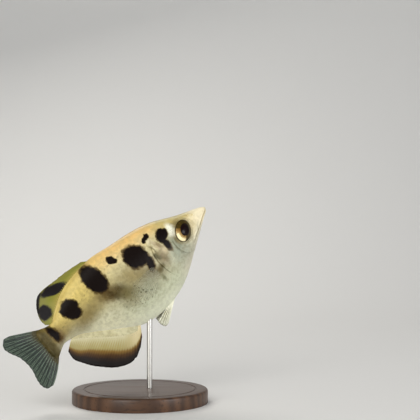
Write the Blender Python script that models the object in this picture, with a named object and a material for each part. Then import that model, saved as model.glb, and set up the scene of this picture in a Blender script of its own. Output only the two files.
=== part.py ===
"""A life-size archerfish aiming up at the surface, held on a display stand.

Run it with blender --background --python part.py, or from Blender's text editor.
Metres, +Z up. The origin is the centre of the stand's underside, and the fish's snout
points towards +X and up, with its right side towards -Y.

The fish is drawn in its own coordinates, as shares of its length: station runs back from
the snout, height runs up to the back, and side runs out to the left. place() turns them
into points of the model. Touching solids keep a gap of 0.3 mm.
"""
import math

import bmesh
import bpy
from mathutils import Matrix, Vector

# Size and pose of the fish
LENGTH = 0.100  # snout to the root of the tail fin
SNOUT = Vector((0.0303, 0.0139, 0.0921))
PITCH = math.radians(38.4)  # nose up
YAW = math.radians(24.0)  # nose away from the viewer
BEND_START = 0.82  # the tail swings to the right from this station on
BEND_RADIUS = 0.72
GAP = 0.0003

# Body outline from the side: (station, height)
BACK = ((0.0, 0.006), (0.03, 0.019), (0.10, 0.044), (0.16, 0.067), (0.20, 0.087),
        (0.26, 0.1135), (0.32, 0.132), (0.40, 0.1475), (0.48, 0.157), (0.62, 0.174),
        (0.70, 0.163), (0.80, 0.133), (0.88, 0.090), (0.93, 0.0615), (0.96, 0.0645),
        (1.0, 0.080))
BELLY = ((0.0, -0.008), (0.03, -0.0295), (0.10, -0.080), (0.18, -0.1345), (0.24, -0.178),
         (0.28, -0.203), (0.33, -0.227), (0.38, -0.2425), (0.44, -0.2535), (0.50, -0.2565),
         (0.59, -0.240), (0.70, -0.179), (0.80, -0.110), (0.86, -0.073), (0.91, -0.058),
         (0.945, -0.0535), (0.97, -0.063), (1.0, -0.079))
# Body outline from above, and the height at which the body is widest
HALF_WIDTH = ((0.0, 0.019), (0.015, 0.025), (0.05, 0.036), (0.10, 0.050), (0.17, 0.067),
              (0.26, 0.081), (0.36, 0.087), (0.48, 0.083), (0.60, 0.071), (0.72, 0.055),
              (0.84, 0.038), (0.93, 0.026), (1.0, 0.013))
WIDEST = ((0.0, -0.001), (0.10, -0.009), (0.20, -0.014), (0.36, -0.008), (0.60, 0.018),
          (0.80, 0.018), (0.95, 0.006), (1.0, 0.003))
# How pointed a section is: below 1 it is broad, above 1 it runs to a keel
BACK_KEEL = ((0.0, 0.80), (0.08, 0.70), (0.20, 0.68), (0.36, 0.85), (0.55, 1.05),
             (0.68, 1.30), (0.85, 1.35), (1.0, 0.90))
BELLY_KEEL = ((0.0, 0.85), (0.10, 0.95), (0.25, 1.10), (0.45, 1.15), (0.60, 1.55),
              (0.70, 1.80), (0.86, 1.50), (1.0, 0.90))
NOSE_ROUND = 0.018  # the snout is rounded off over this length
FLAT_EDGE = 0.25  # the head's relief fades out over this share of the width, at back and belly

# Head: gill opening as (share of the half turn from back to belly, station)
GILL_EDGE = ((0.0, 0.285), (0.25, 0.322), (0.42, 0.365), (0.52, 0.374), (0.65, 0.355),
             (0.80, 0.300), (1.0, 0.228))
GILL_LIP = 0.0055  # the gill cover stands this proud of the shoulder
GILL_TOP, GILL_FOOT = (0.20, 0.34), (0.66, 0.84)  # where the lip rises and fades down the side
GILL_RISE = (0.80, 0.97)  # where it rises towards the edge, as shares of the edge's station
MOUTH = ((-0.04, 0.012), (0.0, -0.001), (0.05, -0.024), (0.10, -0.050), (0.14, -0.072),
         (0.165, -0.088))
JAW_REACH = 0.006  # the lower jaw is this much longer than the upper
CHIN_REAR = 0.145  # station where the jaw ends on the throat
JAW_STEP = 0.012  # height over which the jaw's extra length sets in under the mouth
JAW_FADE = 0.04  # length over which it fades back from the chin
JAW_CUT = (-0.04, 0.0, 0.025, 0.05, 0.075, 0.10, 0.12, 0.14, 0.165)
LIP_HEIGHT, LIP_WIDTH, LOWER_LIP = 0.0035, 0.008, 0.8
LIP_END = (0.155, 0.185)  # the lips fade out between these stations
EYE = (0.180, 0.002, 0.058)  # station, height and side of the eyeball's middle
EYE_RADIUS, EYE_DEPTH = 0.055, 0.021
EYE_FORWARD, EYE_UP = math.radians(20), math.radians(-5)
ORBIT_RIM, ORBIT_WIDTH = 0.0035, 0.020
CHEEK_ARC = (0.150, -0.020, 0.105)  # the preopercle's edge: station, height, radius
CHEEK_RIDGE, CHEEK_WIDTH = 0.0045, 0.010
CHEEK_SPAN = (-88, -62, 8, 38)  # angles between which the ridge rises and fades, in degrees
MAXILLA = (0.0035, 0.015, 0.009)  # upper jaw plate: relief, height over the mouth, width
MAXILLA_SPAN = (0.06, 0.14, 0.160, 0.185)  # stations between which it rises and fades
NOSTRILS = ((0.088, 0.022), (0.108, 0.034))
NOSTRIL_RADIUS = 0.0055

# Body division and mesh fineness
TAIL_START = 0.905
HEAD_TURNS, HEAD_RINGS = 60, 32
BODY_TURNS, TRUNK_RINGS, TAIL_RINGS = 40, 18, 6
HEAD_CORE = (0.255, -0.020)  # station and height where the head's rear meets the trunk's front
SMOOTH_ANGLE = math.radians(40)

# Fins: rays on the sheet stand between folds at this share of the distance to the next ray
RAY_FOOT = 0.24
SPINE_STOUT = 1.5  # a spine stands this much higher than a soft ray
TIP_THIN = 0.6  # thickness left at the fin's rim

# Stand
BASE_RADIUS, BASE_HEIGHT, BASE_BEVEL = 0.032, 0.0065, 0.0012
ROD_RADIUS = 0.0013
ROD_STATION = 0.56  # the rod meets the belly here
ROD_SINK = 0.004

COLOURS = {
    "skin": ((0.60, 0.55, 0.33), 0.35, 0.0),
    "fin": ((0.55, 0.52, 0.34), 0.40, 0.0),
    "eye": ((0.35, 0.24, 0.07), 0.12, 0.0),
    "stand_wood": ((0.09, 0.045, 0.022), 0.45, 0.0),
    "stand_metal": ((0.62, 0.60, 0.56), 0.28, 1.0),
}


def smooth_curve(points, at):
    """Value at a place on the smooth curve through (place, value) points."""
    last = len(points) - 1
    i = 0
    while i < last - 1 and at > points[i + 1][0]:
        i += 1
    (x0, y0), (x1, y1) = points[i], points[i + 1]
    step = x1 - x0
    rise = (y1 - y0) / step

    def slope(k):
        """Slope at point k: the weighted mean of the slopes beside it."""
        if k in (0, last):
            return rise
        before, here, after = points[k - 1], points[k], points[k + 1]
        left = (here[1] - before[1]) / (here[0] - before[0])
        right = (after[1] - here[1]) / (after[0] - here[0])
        share = (here[0] - before[0]) / (after[0] - before[0])
        return left * (1 - share) + right * share

    t = min(1.0, max(0.0, (at - x0) / step))
    m0, m1 = slope(i) * step, slope(i + 1) * step
    return (y0 * (1 + 2 * t) * (1 - t) ** 2 + m0 * t * (1 - t) ** 2
            + y1 * t * t * (3 - 2 * t) + m1 * t * t * (t - 1))


def ease(low, high, value):
    """0 below low, 1 above high, and a smooth step between them."""
    t = min(1.0, max(0.0, (value - low) / (high - low)))
    return t * t * (3 - 2 * t)


def bump(value, middle, width):
    """A smooth hump of height 1 at middle."""
    return math.exp(-(((value - middle) / width) ** 2))


def window(value, rise_from, rise_to, fade_from, fade_to):
    """1 between rise_to and fade_from, with smooth steps down to 0 on both sides."""
    return ease(rise_from, rise_to, value) * (1 - ease(fade_from, fade_to, value))


def fish_axes():
    """Forward, up and left of the fish in the model's frame."""
    turn = Matrix.Rotation(YAW, 3, "Z") @ Matrix.Rotation(-PITCH, 3, "Y")
    return turn @ Vector((1, 0, 0)), turn @ Vector((0, 0, 1)), turn @ Vector((0, 1, 0))


FORWARD, UP, LEFT = fish_axes()


def place(station, side, height):
    """Model point of a fish coordinate. Behind BEND_START the middle line is an arc."""
    back, across, lean = station, 0.0, 0.0
    if station > BEND_START:
        lean = (station - BEND_START) / BEND_RADIUS
        back = BEND_START + BEND_RADIUS * math.sin(lean)
        across = -BEND_RADIUS * (1 - math.cos(lean))
    forward = -back - side * math.sin(lean)
    left = across + side * math.cos(lean)
    return SNOUT + LENGTH * (FORWARD * forward + LEFT * left + UP * height)


def belly_at(station):
    """Height of the belly's edge."""
    return smooth_curve(BELLY, station)


def back_at(station):
    """Height of the back's edge."""
    return smooth_curve(BACK, station)


def head_relief(station, height):
    """How far the head's bones and lips stand out of its plain surface."""
    from_eye = math.hypot(station - EYE[0], height - EYE[1])
    relief = ORBIT_RIM * bump(from_eye, EYE_RADIUS, ORBIT_WIDTH)
    along, up = station - CHEEK_ARC[0], height - CHEEK_ARC[1]
    from_arc = math.hypot(along, up) - CHEEK_ARC[2]
    arc_angle = math.degrees(math.atan2(up, along))
    arc_window = window(arc_angle, *CHEEK_SPAN)
    relief += CHEEK_RIDGE * bump(from_arc, 0, CHEEK_WIDTH) * arc_window
    above_mouth = height - smooth_curve(MOUTH, station)
    lips = bump(above_mouth, LIP_WIDTH, LIP_WIDTH)
    lips += LOWER_LIP * bump(above_mouth, -LIP_WIDTH, 0.75 * LIP_WIDTH)
    relief += LIP_HEIGHT * lips * window(station, -0.01, 0.02, *LIP_END)
    plate = bump(above_mouth, MAXILLA[1], MAXILLA[2]) * window(station, *MAXILLA_SPAN)
    return relief + MAXILLA[0] * plate


def skin(station, turn, grow=0.0):
    """Fish coordinates (station, side, height) of the body's surface.

    turn runs from 0 on the back over the right side, pi at the belly, and up the left.
    grow moves the surface out, as a share of the length.
    """
    top, foot = back_at(station), belly_at(station)
    middle, half = smooth_curve(WIDEST, station), smooth_curve(HALF_WIDTH, station)
    if station < NOSE_ROUND:
        rounding = math.sqrt(max(0.0, 1 - (1 - station / NOSE_ROUND) ** 2))
        top = middle + (top - middle) * rounding
        foot = middle + (foot - middle) * rounding
        half *= rounding
    rise, out = math.cos(turn), abs(math.sin(turn))
    keel = smooth_curve(BACK_KEEL if rise > 0 else BELLY_KEEL, station)
    reach = top - middle if rise > 0 else middle - foot
    height = middle + (reach + grow) * rise
    side = (half + grow) * out ** keel
    edge = gill_station(turn)
    if station <= edge:
        lip = GILL_LIP * ease(*GILL_RISE, station / edge)
        lip *= window(down_share(turn), *GILL_TOP, *GILL_FOOT)
        side += (head_relief(station, height) + lip) * ease(0.0, FLAT_EDGE, out)
        below = ease(0.0, JAW_STEP, smooth_curve(MOUTH, station) - height)
        below *= math.exp(-station / JAW_FADE) * ease(0.0, 0.01, station)
        station -= JAW_REACH * below
    return station, -math.copysign(side, math.sin(turn)), height


def down_share(turn):
    """Share of the way down from the back to the belly at this turn round the body."""
    return min(turn, 2 * math.pi - turn) / math.pi


def gill_station(turn):
    """Station where the head ends, at this turn round the body."""
    return smooth_curve(GILL_EDGE, down_share(turn))


def turns(count):
    """Even turns round the body, from the back over the right side."""
    return [2 * math.pi * i / count for i in range(count)]


def material(name):
    """A plain material with the finish's colour, roughness and metallic share."""
    colour, roughness, metallic = COLOURS[name]
    made = bpy.data.materials.new(name)
    made.use_nodes = True
    shader = made.node_tree.nodes["Principled BSDF"]
    shader.inputs["Base Color"].default_value = (*colour, 1.0)
    shader.inputs["Roughness"].default_value = roughness
    shader.inputs["Metallic"].default_value = metallic
    made.diffuse_color = (*colour, 1.0)
    return made


def add_object(name, mesh_of, finish):
    """Links a bmesh as a smooth-shaded object."""
    bmesh.ops.recalc_face_normals(mesh_of, faces=mesh_of.faces)
    mesh = bpy.data.meshes.new(name)
    mesh_of.to_mesh(mesh)
    mesh_of.free()
    mesh.shade_smooth()
    mesh.set_sharp_from_angle(angle=SMOOTH_ANGLE)
    if finish:
        mesh.materials.append(finish)
    made = bpy.data.objects.new(name, mesh)
    bpy.context.scene.collection.objects.link(made)
    return made


def as_cutter(made):
    """Hides an object that only cuts others, and returns it."""
    made.hide_render = True
    made.display_type = "WIRE"
    return made


def boolean(made, operation, other):
    """Adds a Boolean modifier."""
    modifier = made.modifiers.new(operation.lower(), "BOOLEAN")
    modifier.operation = operation
    modifier.solver = "EXACT"
    modifier.object = other


def loft(name, rings, front, rear, finish):
    """A closed solid through rings of points, closed by a fan to a point at each end."""
    form = bmesh.new()
    loops = [[form.verts.new(p) for p in ring] for ring in rings]
    count = len(rings[0])
    for here, after in zip(loops, loops[1:]):
        for i in range(count):
            j = (i + 1) % count
            form.faces.new((here[i], here[j], after[j]))
            form.faces.new((here[i], after[j], after[i]))
    for point, loop in ((front, loops[0]), (rear, loops[-1])):
        tip = form.verts.new(point)
        for i in range(count):
            form.faces.new((tip, loop[i], loop[(i + 1) % count]))
    return add_object(name, form, finish)


def whole_head(name, finish):
    """The head as one closed form: the snout, the cheeks and both gill covers."""
    around = turns(HEAD_TURNS)
    shares = [(k / HEAD_RINGS) ** 1.15 for k in range(1, HEAD_RINGS + 1)]
    rings = [[place(*skin(share * gill_station(t), t)) for t in around] for share in shares]
    rear = place(HEAD_CORE[0], 0, HEAD_CORE[1])
    return loft(name, rings, place(0.0, 0, -0.001), rear, finish)


def jaw_block(name, grow):
    """Everything under the mouth line and ahead of the chin's rear, for parting the jaw."""
    outline = [(station, smooth_curve(MOUTH, station) + grow) for station in JAW_CUT]
    outline[-1] = (MOUTH[-1][0] + grow, MOUTH[-1][1] + grow)
    outline += [(CHIN_REAR + grow, -0.20), (-0.04, -0.20)]
    form = bmesh.new()
    near, far = ([form.verts.new(place(s, side, h)) for s, h in outline]
                 for side in (-0.12, 0.12))
    form.faces.new(near)
    form.faces.new(reversed(far))
    for i in range(len(outline)):
        j = (i + 1) % len(outline)
        form.faces.new((near[j], near[i], far[i], far[j]))
    return as_cutter(add_object(name, form, None))


def eyeball(name, hand, grow, finish):
    """A lens-shaped eye. hand is -1 on the right side of the fish and 1 on the left."""
    form = bmesh.new()
    bmesh.ops.create_uvsphere(form, u_segments=24, v_segments=10, radius=1.0)
    out = Vector((math.sin(EYE_FORWARD), hand * math.cos(EYE_FORWARD), math.sin(EYE_UP)))
    frame = Matrix((FORWARD, LEFT, UP)).transposed()
    turn = (frame @ out).to_track_quat("Z", "Y").to_matrix().to_4x4()
    radius, depth = EYE_RADIUS * LENGTH + grow, EYE_DEPTH * LENGTH + grow
    middle = place(EYE[0], hand * EYE[2], EYE[1])
    size = Matrix.Diagonal((radius, radius, depth, 1))
    bmesh.ops.transform(form, matrix=Matrix.Translation(middle) @ turn @ size, verts=form.verts)
    return add_object(name, form, finish)


def nostril_cutters():
    """Small balls that cut the nostril pits, in one collection."""
    pits = bpy.data.collections.new("nostril_pits")
    bpy.context.scene.collection.children.link(pits)
    for number, (station, height) in enumerate(NOSTRILS):
        top, middle = back_at(station), smooth_curve(WIDEST, station)
        turn = math.acos((height - middle) / (top - middle))
        for hand in (-1, 1):
            spot = skin(station, turn if hand < 0 else 2 * math.pi - turn)
            form = bmesh.new()
            bmesh.ops.create_icosphere(form, subdivisions=1, radius=NOSTRIL_RADIUS * LENGTH,
                                       matrix=Matrix.Translation(place(*spot)))
            pit = as_cutter(add_object(f"nostril_pit_{number}_{hand}", form, None))
            bpy.context.scene.collection.objects.unlink(pit)
            pits.objects.link(pit)
    return pits


def make_head(finish, eye_finish):
    """Head, lower jaw and both eyes, parted by thin cuts."""
    head = whole_head("head", finish)
    boolean(head, "DIFFERENCE", jaw_block("jaw_cut", GAP / LENGTH))
    for hand, side in ((-1, "right"), (1, "left")):
        eyeball(f"eye_{side}", hand, 0.0, eye_finish)
        boolean(head, "DIFFERENCE", as_cutter(eyeball(f"socket_{side}", hand, GAP, None)))
    pits = head.modifiers.new("nostrils", "BOOLEAN")
    pits.operation = "DIFFERENCE"
    pits.operand_type = "COLLECTION"
    pits.collection = nostril_cutters()
    jaw = whole_head("lower_jaw", finish)
    boolean(jaw, "INTERSECT", jaw_block("jaw_keep", 0.0))


def trunk_rings(gap, grow):
    """Rings from the gill opening, plus a gap, to the root of the tail."""
    around = turns(BODY_TURNS)
    rings = []
    for k in range(TRUNK_RINGS + 1):
        share = k / TRUNK_RINGS
        ring = []
        for t in around:
            start = gill_station(t) + gap
            ring.append(place(*skin(start + (TAIL_START - start) * share, t, grow)))
        rings.append(ring)
    return rings


def tail_rings(start, grow):
    """Rings from a station to the fleshy end of the tail, which is rounded off."""
    around = turns(BODY_TURNS)
    stations = [start + (1.0 - start) * k / TAIL_RINGS for k in range(TAIL_RINGS + 1)]
    rings = [[place(*skin(s, t, grow)) for t in around] for s in stations]
    rounded = [skin(1.0, t, grow) for t in around]
    rings.append([place(s + 0.012, 0.55 * side, 0.97 * h) for s, side, h in rounded])
    return rings


def make_trunk(finish):
    """The trunk, from the gill openings to the root of the tail."""
    gap = 1.2 * GAP / LENGTH
    loft("trunk", trunk_rings(gap, 0.0), place(HEAD_CORE[0] + gap, 0, HEAD_CORE[1]),
         place(TAIL_START, 0, 0.01), finish)


def make_tail(finish):
    """The tail's fleshy part, which carries the tail fin."""
    start = TAIL_START + GAP / LENGTH
    loft("tail", tail_rings(start, 0.0), place(start, 0, 0.01), place(1.014, 0, 0.003), finish)


def grown_body():
    """Trunk and tail as one form, larger by the gap, to cut the roots of fins and rod."""
    grow = GAP / LENGTH
    rings = trunk_rings(0.0, grow) + tail_rings(TAIL_START + 0.01, grow)
    front = place(HEAD_CORE[0] - 0.005, 0, HEAD_CORE[1])
    body = loft("grown_body", rings, front, place(1.017, 0, 0.003), None)
    return as_cutter(body)


def curve_through(points, share):
    """Point on the smooth curve through (share, station, side, height) points."""
    return Vector([smooth_curve([(p[0], p[k]) for p in points], share) for k in (1, 2, 3)])


def fin(name, root, edge, rays, rows, thickness, ridge, notch, cutter, finish, spines=0):
    """A thin sheet with its rays raised on both faces, cut to meet the body.

    root and edge give fish coordinates at a share along the fin. thickness is that of the
    membrane at its root and at its edge, ridge that of a ray over it, in metres. notch is
    how far the membrane falls back between the tips of the spines.
    """
    columns = []
    pitch = 1 / (rays - 1)
    for i in range(rays):
        for offset in (-RAY_FOOT, 0.0, RAY_FOOT):
            share = min(1.0, max(0.0, (i + offset) * pitch))
            if (i, offset) not in ((0, -RAY_FOOT), (rays - 1, RAY_FOOT)):
                columns.append((share, offset == 0.0, i < spines))
    points, sizes = [], []
    for share, on_ray, on_spine in columns:
        start, end = root(share), edge(share)
        reach = 1.0 if on_ray else 1.0 - notch * (1.0 if on_spine else 0.25)
        line, thick = [], []
        for r in range(rows + 1):
            v = r / rows * reach
            line.append(place(*start.lerp(end, v)))
            thin = thickness[0] + (thickness[1] - thickness[0]) * ease(0.0, 1.0, v)
            stout = SPINE_STOUT if on_spine else 1.0
            raised = ridge * stout * (1 - 0.55 * v) if on_ray else 0.0
            thick.append((thin + raised) * (TIP_THIN if r == rows else 1.0))
        points.append(line)
        sizes.append(thick)
    form = bmesh.new()
    faces = []
    count = len(points)
    for face_side in (1, -1):
        sheet = []
        for c in range(count):
            row = []
            for r in range(rows + 1):
                along = points[min(c + 1, count - 1)][r] - points[max(c - 1, 0)][r]
                outward = points[c][min(r + 1, rows)] - points[c][max(r - 1, 0)]
                normal = along.cross(outward).normalized()
                row.append(form.verts.new(points[c][r] + normal * face_side * sizes[c][r] / 2))
            sheet.append(row)
        faces.append(sheet)
    near, far = faces
    for c in range(count - 1):
        for r in range(rows):
            for sheet, order in ((near, 1), (far, -1)):
                a, b = sheet[c][r], sheet[c + 1][r]
                d, e = sheet[c + 1][r + 1], sheet[c][r + 1]
                form.faces.new((a, b, d)[::order])
                form.faces.new((a, d, e)[::order])
    rim = [(c, 0) for c in range(count)] + [(count - 1, r) for r in range(1, rows + 1)]
    rim += [(c, rows) for c in range(count - 2, -1, -1)] + [(0, r) for r in range(rows - 1, 0, -1)]
    for (c0, r0), (c1, r1) in zip(rim, rim[1:] + rim[:1]):
        form.faces.new((far[c0][r0], far[c1][r1], near[c1][r1]))
        form.faces.new((far[c0][r0], near[c1][r1], near[c0][r0]))
    made = add_object(name, form, finish)
    boolean(made, "DIFFERENCE", cutter)
    return made


def make_dorsal_fin(cutter, finish):
    """The fin on the back, with five spines in front."""
    edge = ((0.0, 0.650, 0, 0.189), (0.12, 0.735, 0, 0.199), (0.25, 0.808, 0.002, 0.2015),
            (0.38, 0.869, 0.003, 0.2035), (0.50, 0.904, 0.004, 0.1965),
            (0.63, 0.934, 0.004, 0.170), (0.76, 0.954, 0.003, 0.139),
            (0.88, 0.964, 0.002, 0.105), (1.0, 0.960, 0, 0.073))

    def root(share):
        """The fin's foot, inside the back."""
        station = 0.622 + 0.310 * share
        return Vector((station, 0, back_at(station) - 0.020))

    fin("dorsal_fin", root, lambda share: curve_through(edge, share), rays=17, rows=5,
        thickness=(0.0011, 0.0005), ridge=0.0004, notch=0.04, cutter=cutter,
        finish=finish, spines=5)


def make_anal_fin(cutter, finish):
    """The fin under the body's rear, with three spines in front."""
    edge = ((0.0, 0.634, 0, -0.281), (0.055, 0.666, 0, -0.312), (0.105, 0.704, 0, -0.336),
            (0.175, 0.751, -0.002, -0.339), (0.26, 0.800, -0.003, -0.320),
            (0.35, 0.838, -0.004, -0.294), (0.445, 0.870, -0.004, -0.262),
            (0.565, 0.904, -0.003, -0.224), (0.705, 0.934, -0.002, -0.179),
            (0.86, 0.955, 0, -0.138), (1.0, 0.953, 0, -0.094))

    def root(share):
        """The fin's foot, inside the belly."""
        station = 0.606 + 0.290 * share ** 1.2
        return Vector((station, 0, belly_at(station) + 0.020))

    fin("anal_fin", root, lambda share: curve_through(edge, share), rays=18, rows=5,
        thickness=(0.0011, 0.0005), ridge=0.0004, notch=0.04, cutter=cutter,
        finish=finish, spines=3)


def make_caudal_fin(cutter, finish):
    """The tail fin."""
    edge = ((0.0, 1.134, 0, 0.1565), (0.06, 1.168, 0, 0.166), (0.14, 1.196, 0.003, 0.142),
            (0.26, 1.190, 0.004, 0.102), (0.40, 1.165, 0, 0.052), (0.50, 1.156, -0.004, 0.010),
            (0.60, 1.155, -0.003, -0.030), (0.74, 1.166, 0.002, -0.080),
            (0.86, 1.163, 0.004, -0.120), (0.94, 1.147, 0.002, -0.146), (1.0, 1.118, 0, -0.1545))

    def root(share):
        """The fin's foot, inside the tail."""
        return Vector((0.990, 0, 0.076 - 0.151 * share))

    fin("caudal_fin", root, lambda share: curve_through(edge, share), rays=17, rows=6,
        thickness=(0.0014, 0.0005), ridge=0.0004, notch=0.06, cutter=cutter, finish=finish)


def make_pectoral_fin(side, hand, cutter, finish):
    """Set behind the gill cover and held out to steady the fish. hand is -1 on the right."""
    out = (0.070, 0.118, 0.140, 0.146, 0.140, 0.122)
    tips = ((0.0, 0.550, out[1], -0.026), (0.2, 0.598, out[2], -0.052),
            (0.4, 0.606, out[3], -0.086), (0.6, 0.588, out[4], -0.117),
            (0.8, 0.550, out[5], -0.140), (1.0, 0.498, 0.112, -0.146))
    edge = [(share, station, hand * reach, height) for share, station, reach, height in tips]

    def root(share):
        """The fin's foot, inside the shoulder."""
        return Vector((0.392, hand * out[0], -0.032 - 0.044 * share))

    fin(f"pectoral_fin_{side}", root, lambda share: curve_through(edge, share), rays=10,
        rows=4, thickness=(0.0008, 0.0005), ridge=0.0003, notch=0.06, cutter=cutter,
        finish=finish)


def make_pelvic_fin(side, hand, tuck, cutter, finish):
    """Set on the belly's edge. tuck moves the tips forward and up, close to the belly."""
    tips = ((0.0, 0.4985, 0.018, -0.314), (0.25, 0.511, 0.020, -0.3155),
            (0.5, 0.521, 0.022, -0.309), (0.75, 0.529, 0.022, -0.294),
            (1.0, 0.533, 0.020, -0.273))
    edge = [(share, station - tuck, hand * reach, height + 0.8 * tuck)
            for share, station, reach, height in tips]

    def root(share):
        """The fin's foot, inside the belly."""
        station = 0.392 + 0.036 * share
        return Vector((station, hand * 0.011, belly_at(station) + 0.024))

    fin(f"pelvic_fin_{side}", root, lambda share: curve_through(edge, share), rays=6,
        rows=4, thickness=(0.0009, 0.0005), ridge=0.0004, notch=0.10, cutter=cutter,
        finish=finish, spines=1)


def make_base(finish):
    """The stand's round base, its top edge rounded."""
    form = bmesh.new()
    bmesh.ops.create_cone(form, cap_ends=True, segments=64, radius1=BASE_RADIUS,
                          radius2=BASE_RADIUS, depth=BASE_HEIGHT,
                          matrix=Matrix.Translation((0, 0, BASE_HEIGHT / 2)))
    rims = [e for e in form.edges if all(v.co.z > BASE_HEIGHT * 0.9 for v in e.verts)]
    bmesh.ops.bevel(form, geom=rims, offset=BASE_BEVEL, segments=3, profile=0.5,
                    affect="EDGES", material=-1)
    return add_object("stand_base", form, finish)


def make_rod(cutter, finish):
    """A plain upright rod from the base to the belly."""
    top = place(ROD_STATION, 0, belly_at(ROD_STATION))
    low, high = BASE_HEIGHT + GAP, top.z + ROD_SINK
    form = bmesh.new()
    bmesh.ops.create_cone(form, cap_ends=True, segments=24, radius1=ROD_RADIUS,
                          radius2=ROD_RADIUS, depth=high - low,
                          matrix=Matrix.Translation((top.x, top.y, (low + high) / 2)))
    boolean(add_object("stand_rod", form, finish), "DIFFERENCE", cutter)


def main():
    """Builds every solid in an empty scene."""
    for old in list(bpy.data.objects):
        bpy.data.objects.remove(old)
    finish = {name: material(name) for name in COLOURS}
    make_head(finish["skin"], finish["eye"])
    make_trunk(finish["skin"])
    make_tail(finish["skin"])
    body = grown_body()
    make_dorsal_fin(body, finish["fin"])
    make_anal_fin(body, finish["fin"])
    make_caudal_fin(body, finish["fin"])
    for hand, side, tuck in ((-1, "right", 0.0), (1, "left", 0.010)):
        make_pectoral_fin(side, hand, body, finish["fin"])
        make_pelvic_fin(side, hand, tuck, body, finish["fin"])
    make_base(finish["stand_wood"])
    make_rod(body, finish["stand_metal"])


main()
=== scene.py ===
"""The looks of a life-size archerfish on a display stand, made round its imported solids.

The fish is drawn in its own coordinates, as shares of its length: station runs back from the
snout, side runs out to the fish's left and height runs up to its back. FishFrame.place turns
them into points of the model, in metres. Each sub-assembly is a class with its sizes as
fields, and main() builds them in order.
"""
from __future__ import annotations

import logging
import math
import random
from dataclasses import dataclass, field
from enum import Enum
from functools import cached_property
from typing import Callable, Iterable

import bmesh
import bpy
from mathutils import Matrix, Vector


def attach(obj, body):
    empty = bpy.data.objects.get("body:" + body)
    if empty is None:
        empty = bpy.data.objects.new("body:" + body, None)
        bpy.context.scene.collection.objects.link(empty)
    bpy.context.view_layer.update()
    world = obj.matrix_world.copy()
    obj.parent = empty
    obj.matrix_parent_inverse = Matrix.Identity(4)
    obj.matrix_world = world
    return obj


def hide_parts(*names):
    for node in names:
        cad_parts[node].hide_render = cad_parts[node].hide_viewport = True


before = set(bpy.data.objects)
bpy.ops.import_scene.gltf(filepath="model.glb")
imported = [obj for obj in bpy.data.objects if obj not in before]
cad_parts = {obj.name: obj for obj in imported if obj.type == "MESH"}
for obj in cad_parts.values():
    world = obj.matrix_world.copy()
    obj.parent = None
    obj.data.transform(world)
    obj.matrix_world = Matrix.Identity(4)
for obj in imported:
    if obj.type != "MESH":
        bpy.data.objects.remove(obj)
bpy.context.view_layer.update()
LOG = logging.getLogger("archerfish")

Colour = tuple[float, float, float]
Point = tuple[float, float]


class Side(Enum):
    """The two sides of the fish, as the sign of the side coordinate."""

    RIGHT = -1
    LEFT = 1

    @property
    def word(self) -> str:
        """The side's name in lower case."""
        return self.name.lower()


class Slot(Enum):
    """The record's material slots."""

    SKIN = "skin"
    FIN = "fin"
    EYE = "eye"
    WOOD = "stand_wood"
    METAL = "stand_metal"


def ease(low: float, high: float, value: float) -> float:
    """A smooth step from 0 at low to 1 at high."""
    t = min(1.0, max(0.0, (value - low) / (high - low)))
    return t * t * (3 - 2 * t)


def bump(value: float, middle: float, width: float) -> float:
    """A smooth hump of height 1 at middle."""
    return math.exp(-(((value - middle) / width) ** 2))


class Profile:
    """A smooth curve through (place, value) points."""

    def __init__(self, *points: Point) -> None:
        """Works out the slope at each point.

        Args:
            points: places in rising order, each with its value.
        """
        self.points = points
        rises = [(b[1] - a[1]) / (b[0] - a[0]) for a, b in zip(points, points[1:])]
        self.slopes = [rises[0]]
        for k in range(1, len(points) - 1):
            share = (points[k][0] - points[k - 1][0]) / (points[k + 1][0] - points[k - 1][0])
            self.slopes.append(rises[k - 1] * (1 - share) + rises[k] * share)
        self.slopes.append(rises[-1])

    def __call__(self, at: float) -> float:
        """The curve's value at a place, held level past its ends.

        Args:
            at: the place.

        Returns:
            The value there.
        """
        i = 0
        while i < len(self.points) - 2 and at > self.points[i + 1][0]:
            i += 1
        (x0, y0), (x1, y1) = self.points[i], self.points[i + 1]
        step = x1 - x0
        t = min(1.0, max(0.0, (at - x0) / step))
        m0, m1 = self.slopes[i] * step, self.slopes[i + 1] * step
        return (y0 * (1 + 2 * t) * (1 - t) ** 2 + m0 * t * (1 - t) ** 2
                + y1 * t * t * (3 - 2 * t) + m1 * t * t * (t - 1))


class Path:
    """A smooth curve in fish coordinates, through (share, station, side, height) points."""

    def __init__(self, *points: tuple[float, float, float, float]) -> None:
        """Makes one profile for each coordinate.

        Args:
            points: the share along the path and the place there.
        """
        self.coordinates = [Profile(*((p[0], p[k]) for p in points)) for k in (1, 2, 3)]

    def __call__(self, share: float) -> Vector:
        """The place at a share along the path."""
        return Vector([profile(share) for profile in self.coordinates])


@dataclass(frozen=True)
class FishFrame:
    """Where the fish's own coordinates lie in the model: nose up, tail swung to its right."""

    length: float = 0.100
    snout: tuple[float, float, float] = (0.0303, 0.0139, 0.0921)
    pitch: float = math.radians(38.4)
    yaw: float = math.radians(24.0)
    bend_start: float = 0.82
    bend_radius: float = 0.72

    @cached_property
    def axes(self) -> tuple[Vector, Vector, Vector]:
        """Forward, left and up of the fish."""
        turn = Matrix.Rotation(self.yaw, 3, "Z") @ Matrix.Rotation(-self.pitch, 3, "Y")
        return turn @ Vector((1, 0, 0)), turn @ Vector((0, 1, 0)), turn @ Vector((0, 0, 1))

    def place(self, station: float, side: float, height: float) -> Vector:
        """The model point of a place in the fish.

        Args:
            station: share of the length back from the snout.
            side: share of the length out to the left.
            height: share of the length up to the back.

        Returns:
            The point, in metres.
        """
        back, across, lean = station, 0.0, 0.0
        if station > self.bend_start:
            lean = (station - self.bend_start) / self.bend_radius
            back = self.bend_start + self.bend_radius * math.sin(lean)
            across = -self.bend_radius * (1 - math.cos(lean))
        forward, left, up = self.axes
        ahead = -back - side * math.sin(lean)
        out = across + side * math.cos(lean)
        return Vector(self.snout) + self.length * (forward * ahead + left * out + up * height)


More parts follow.
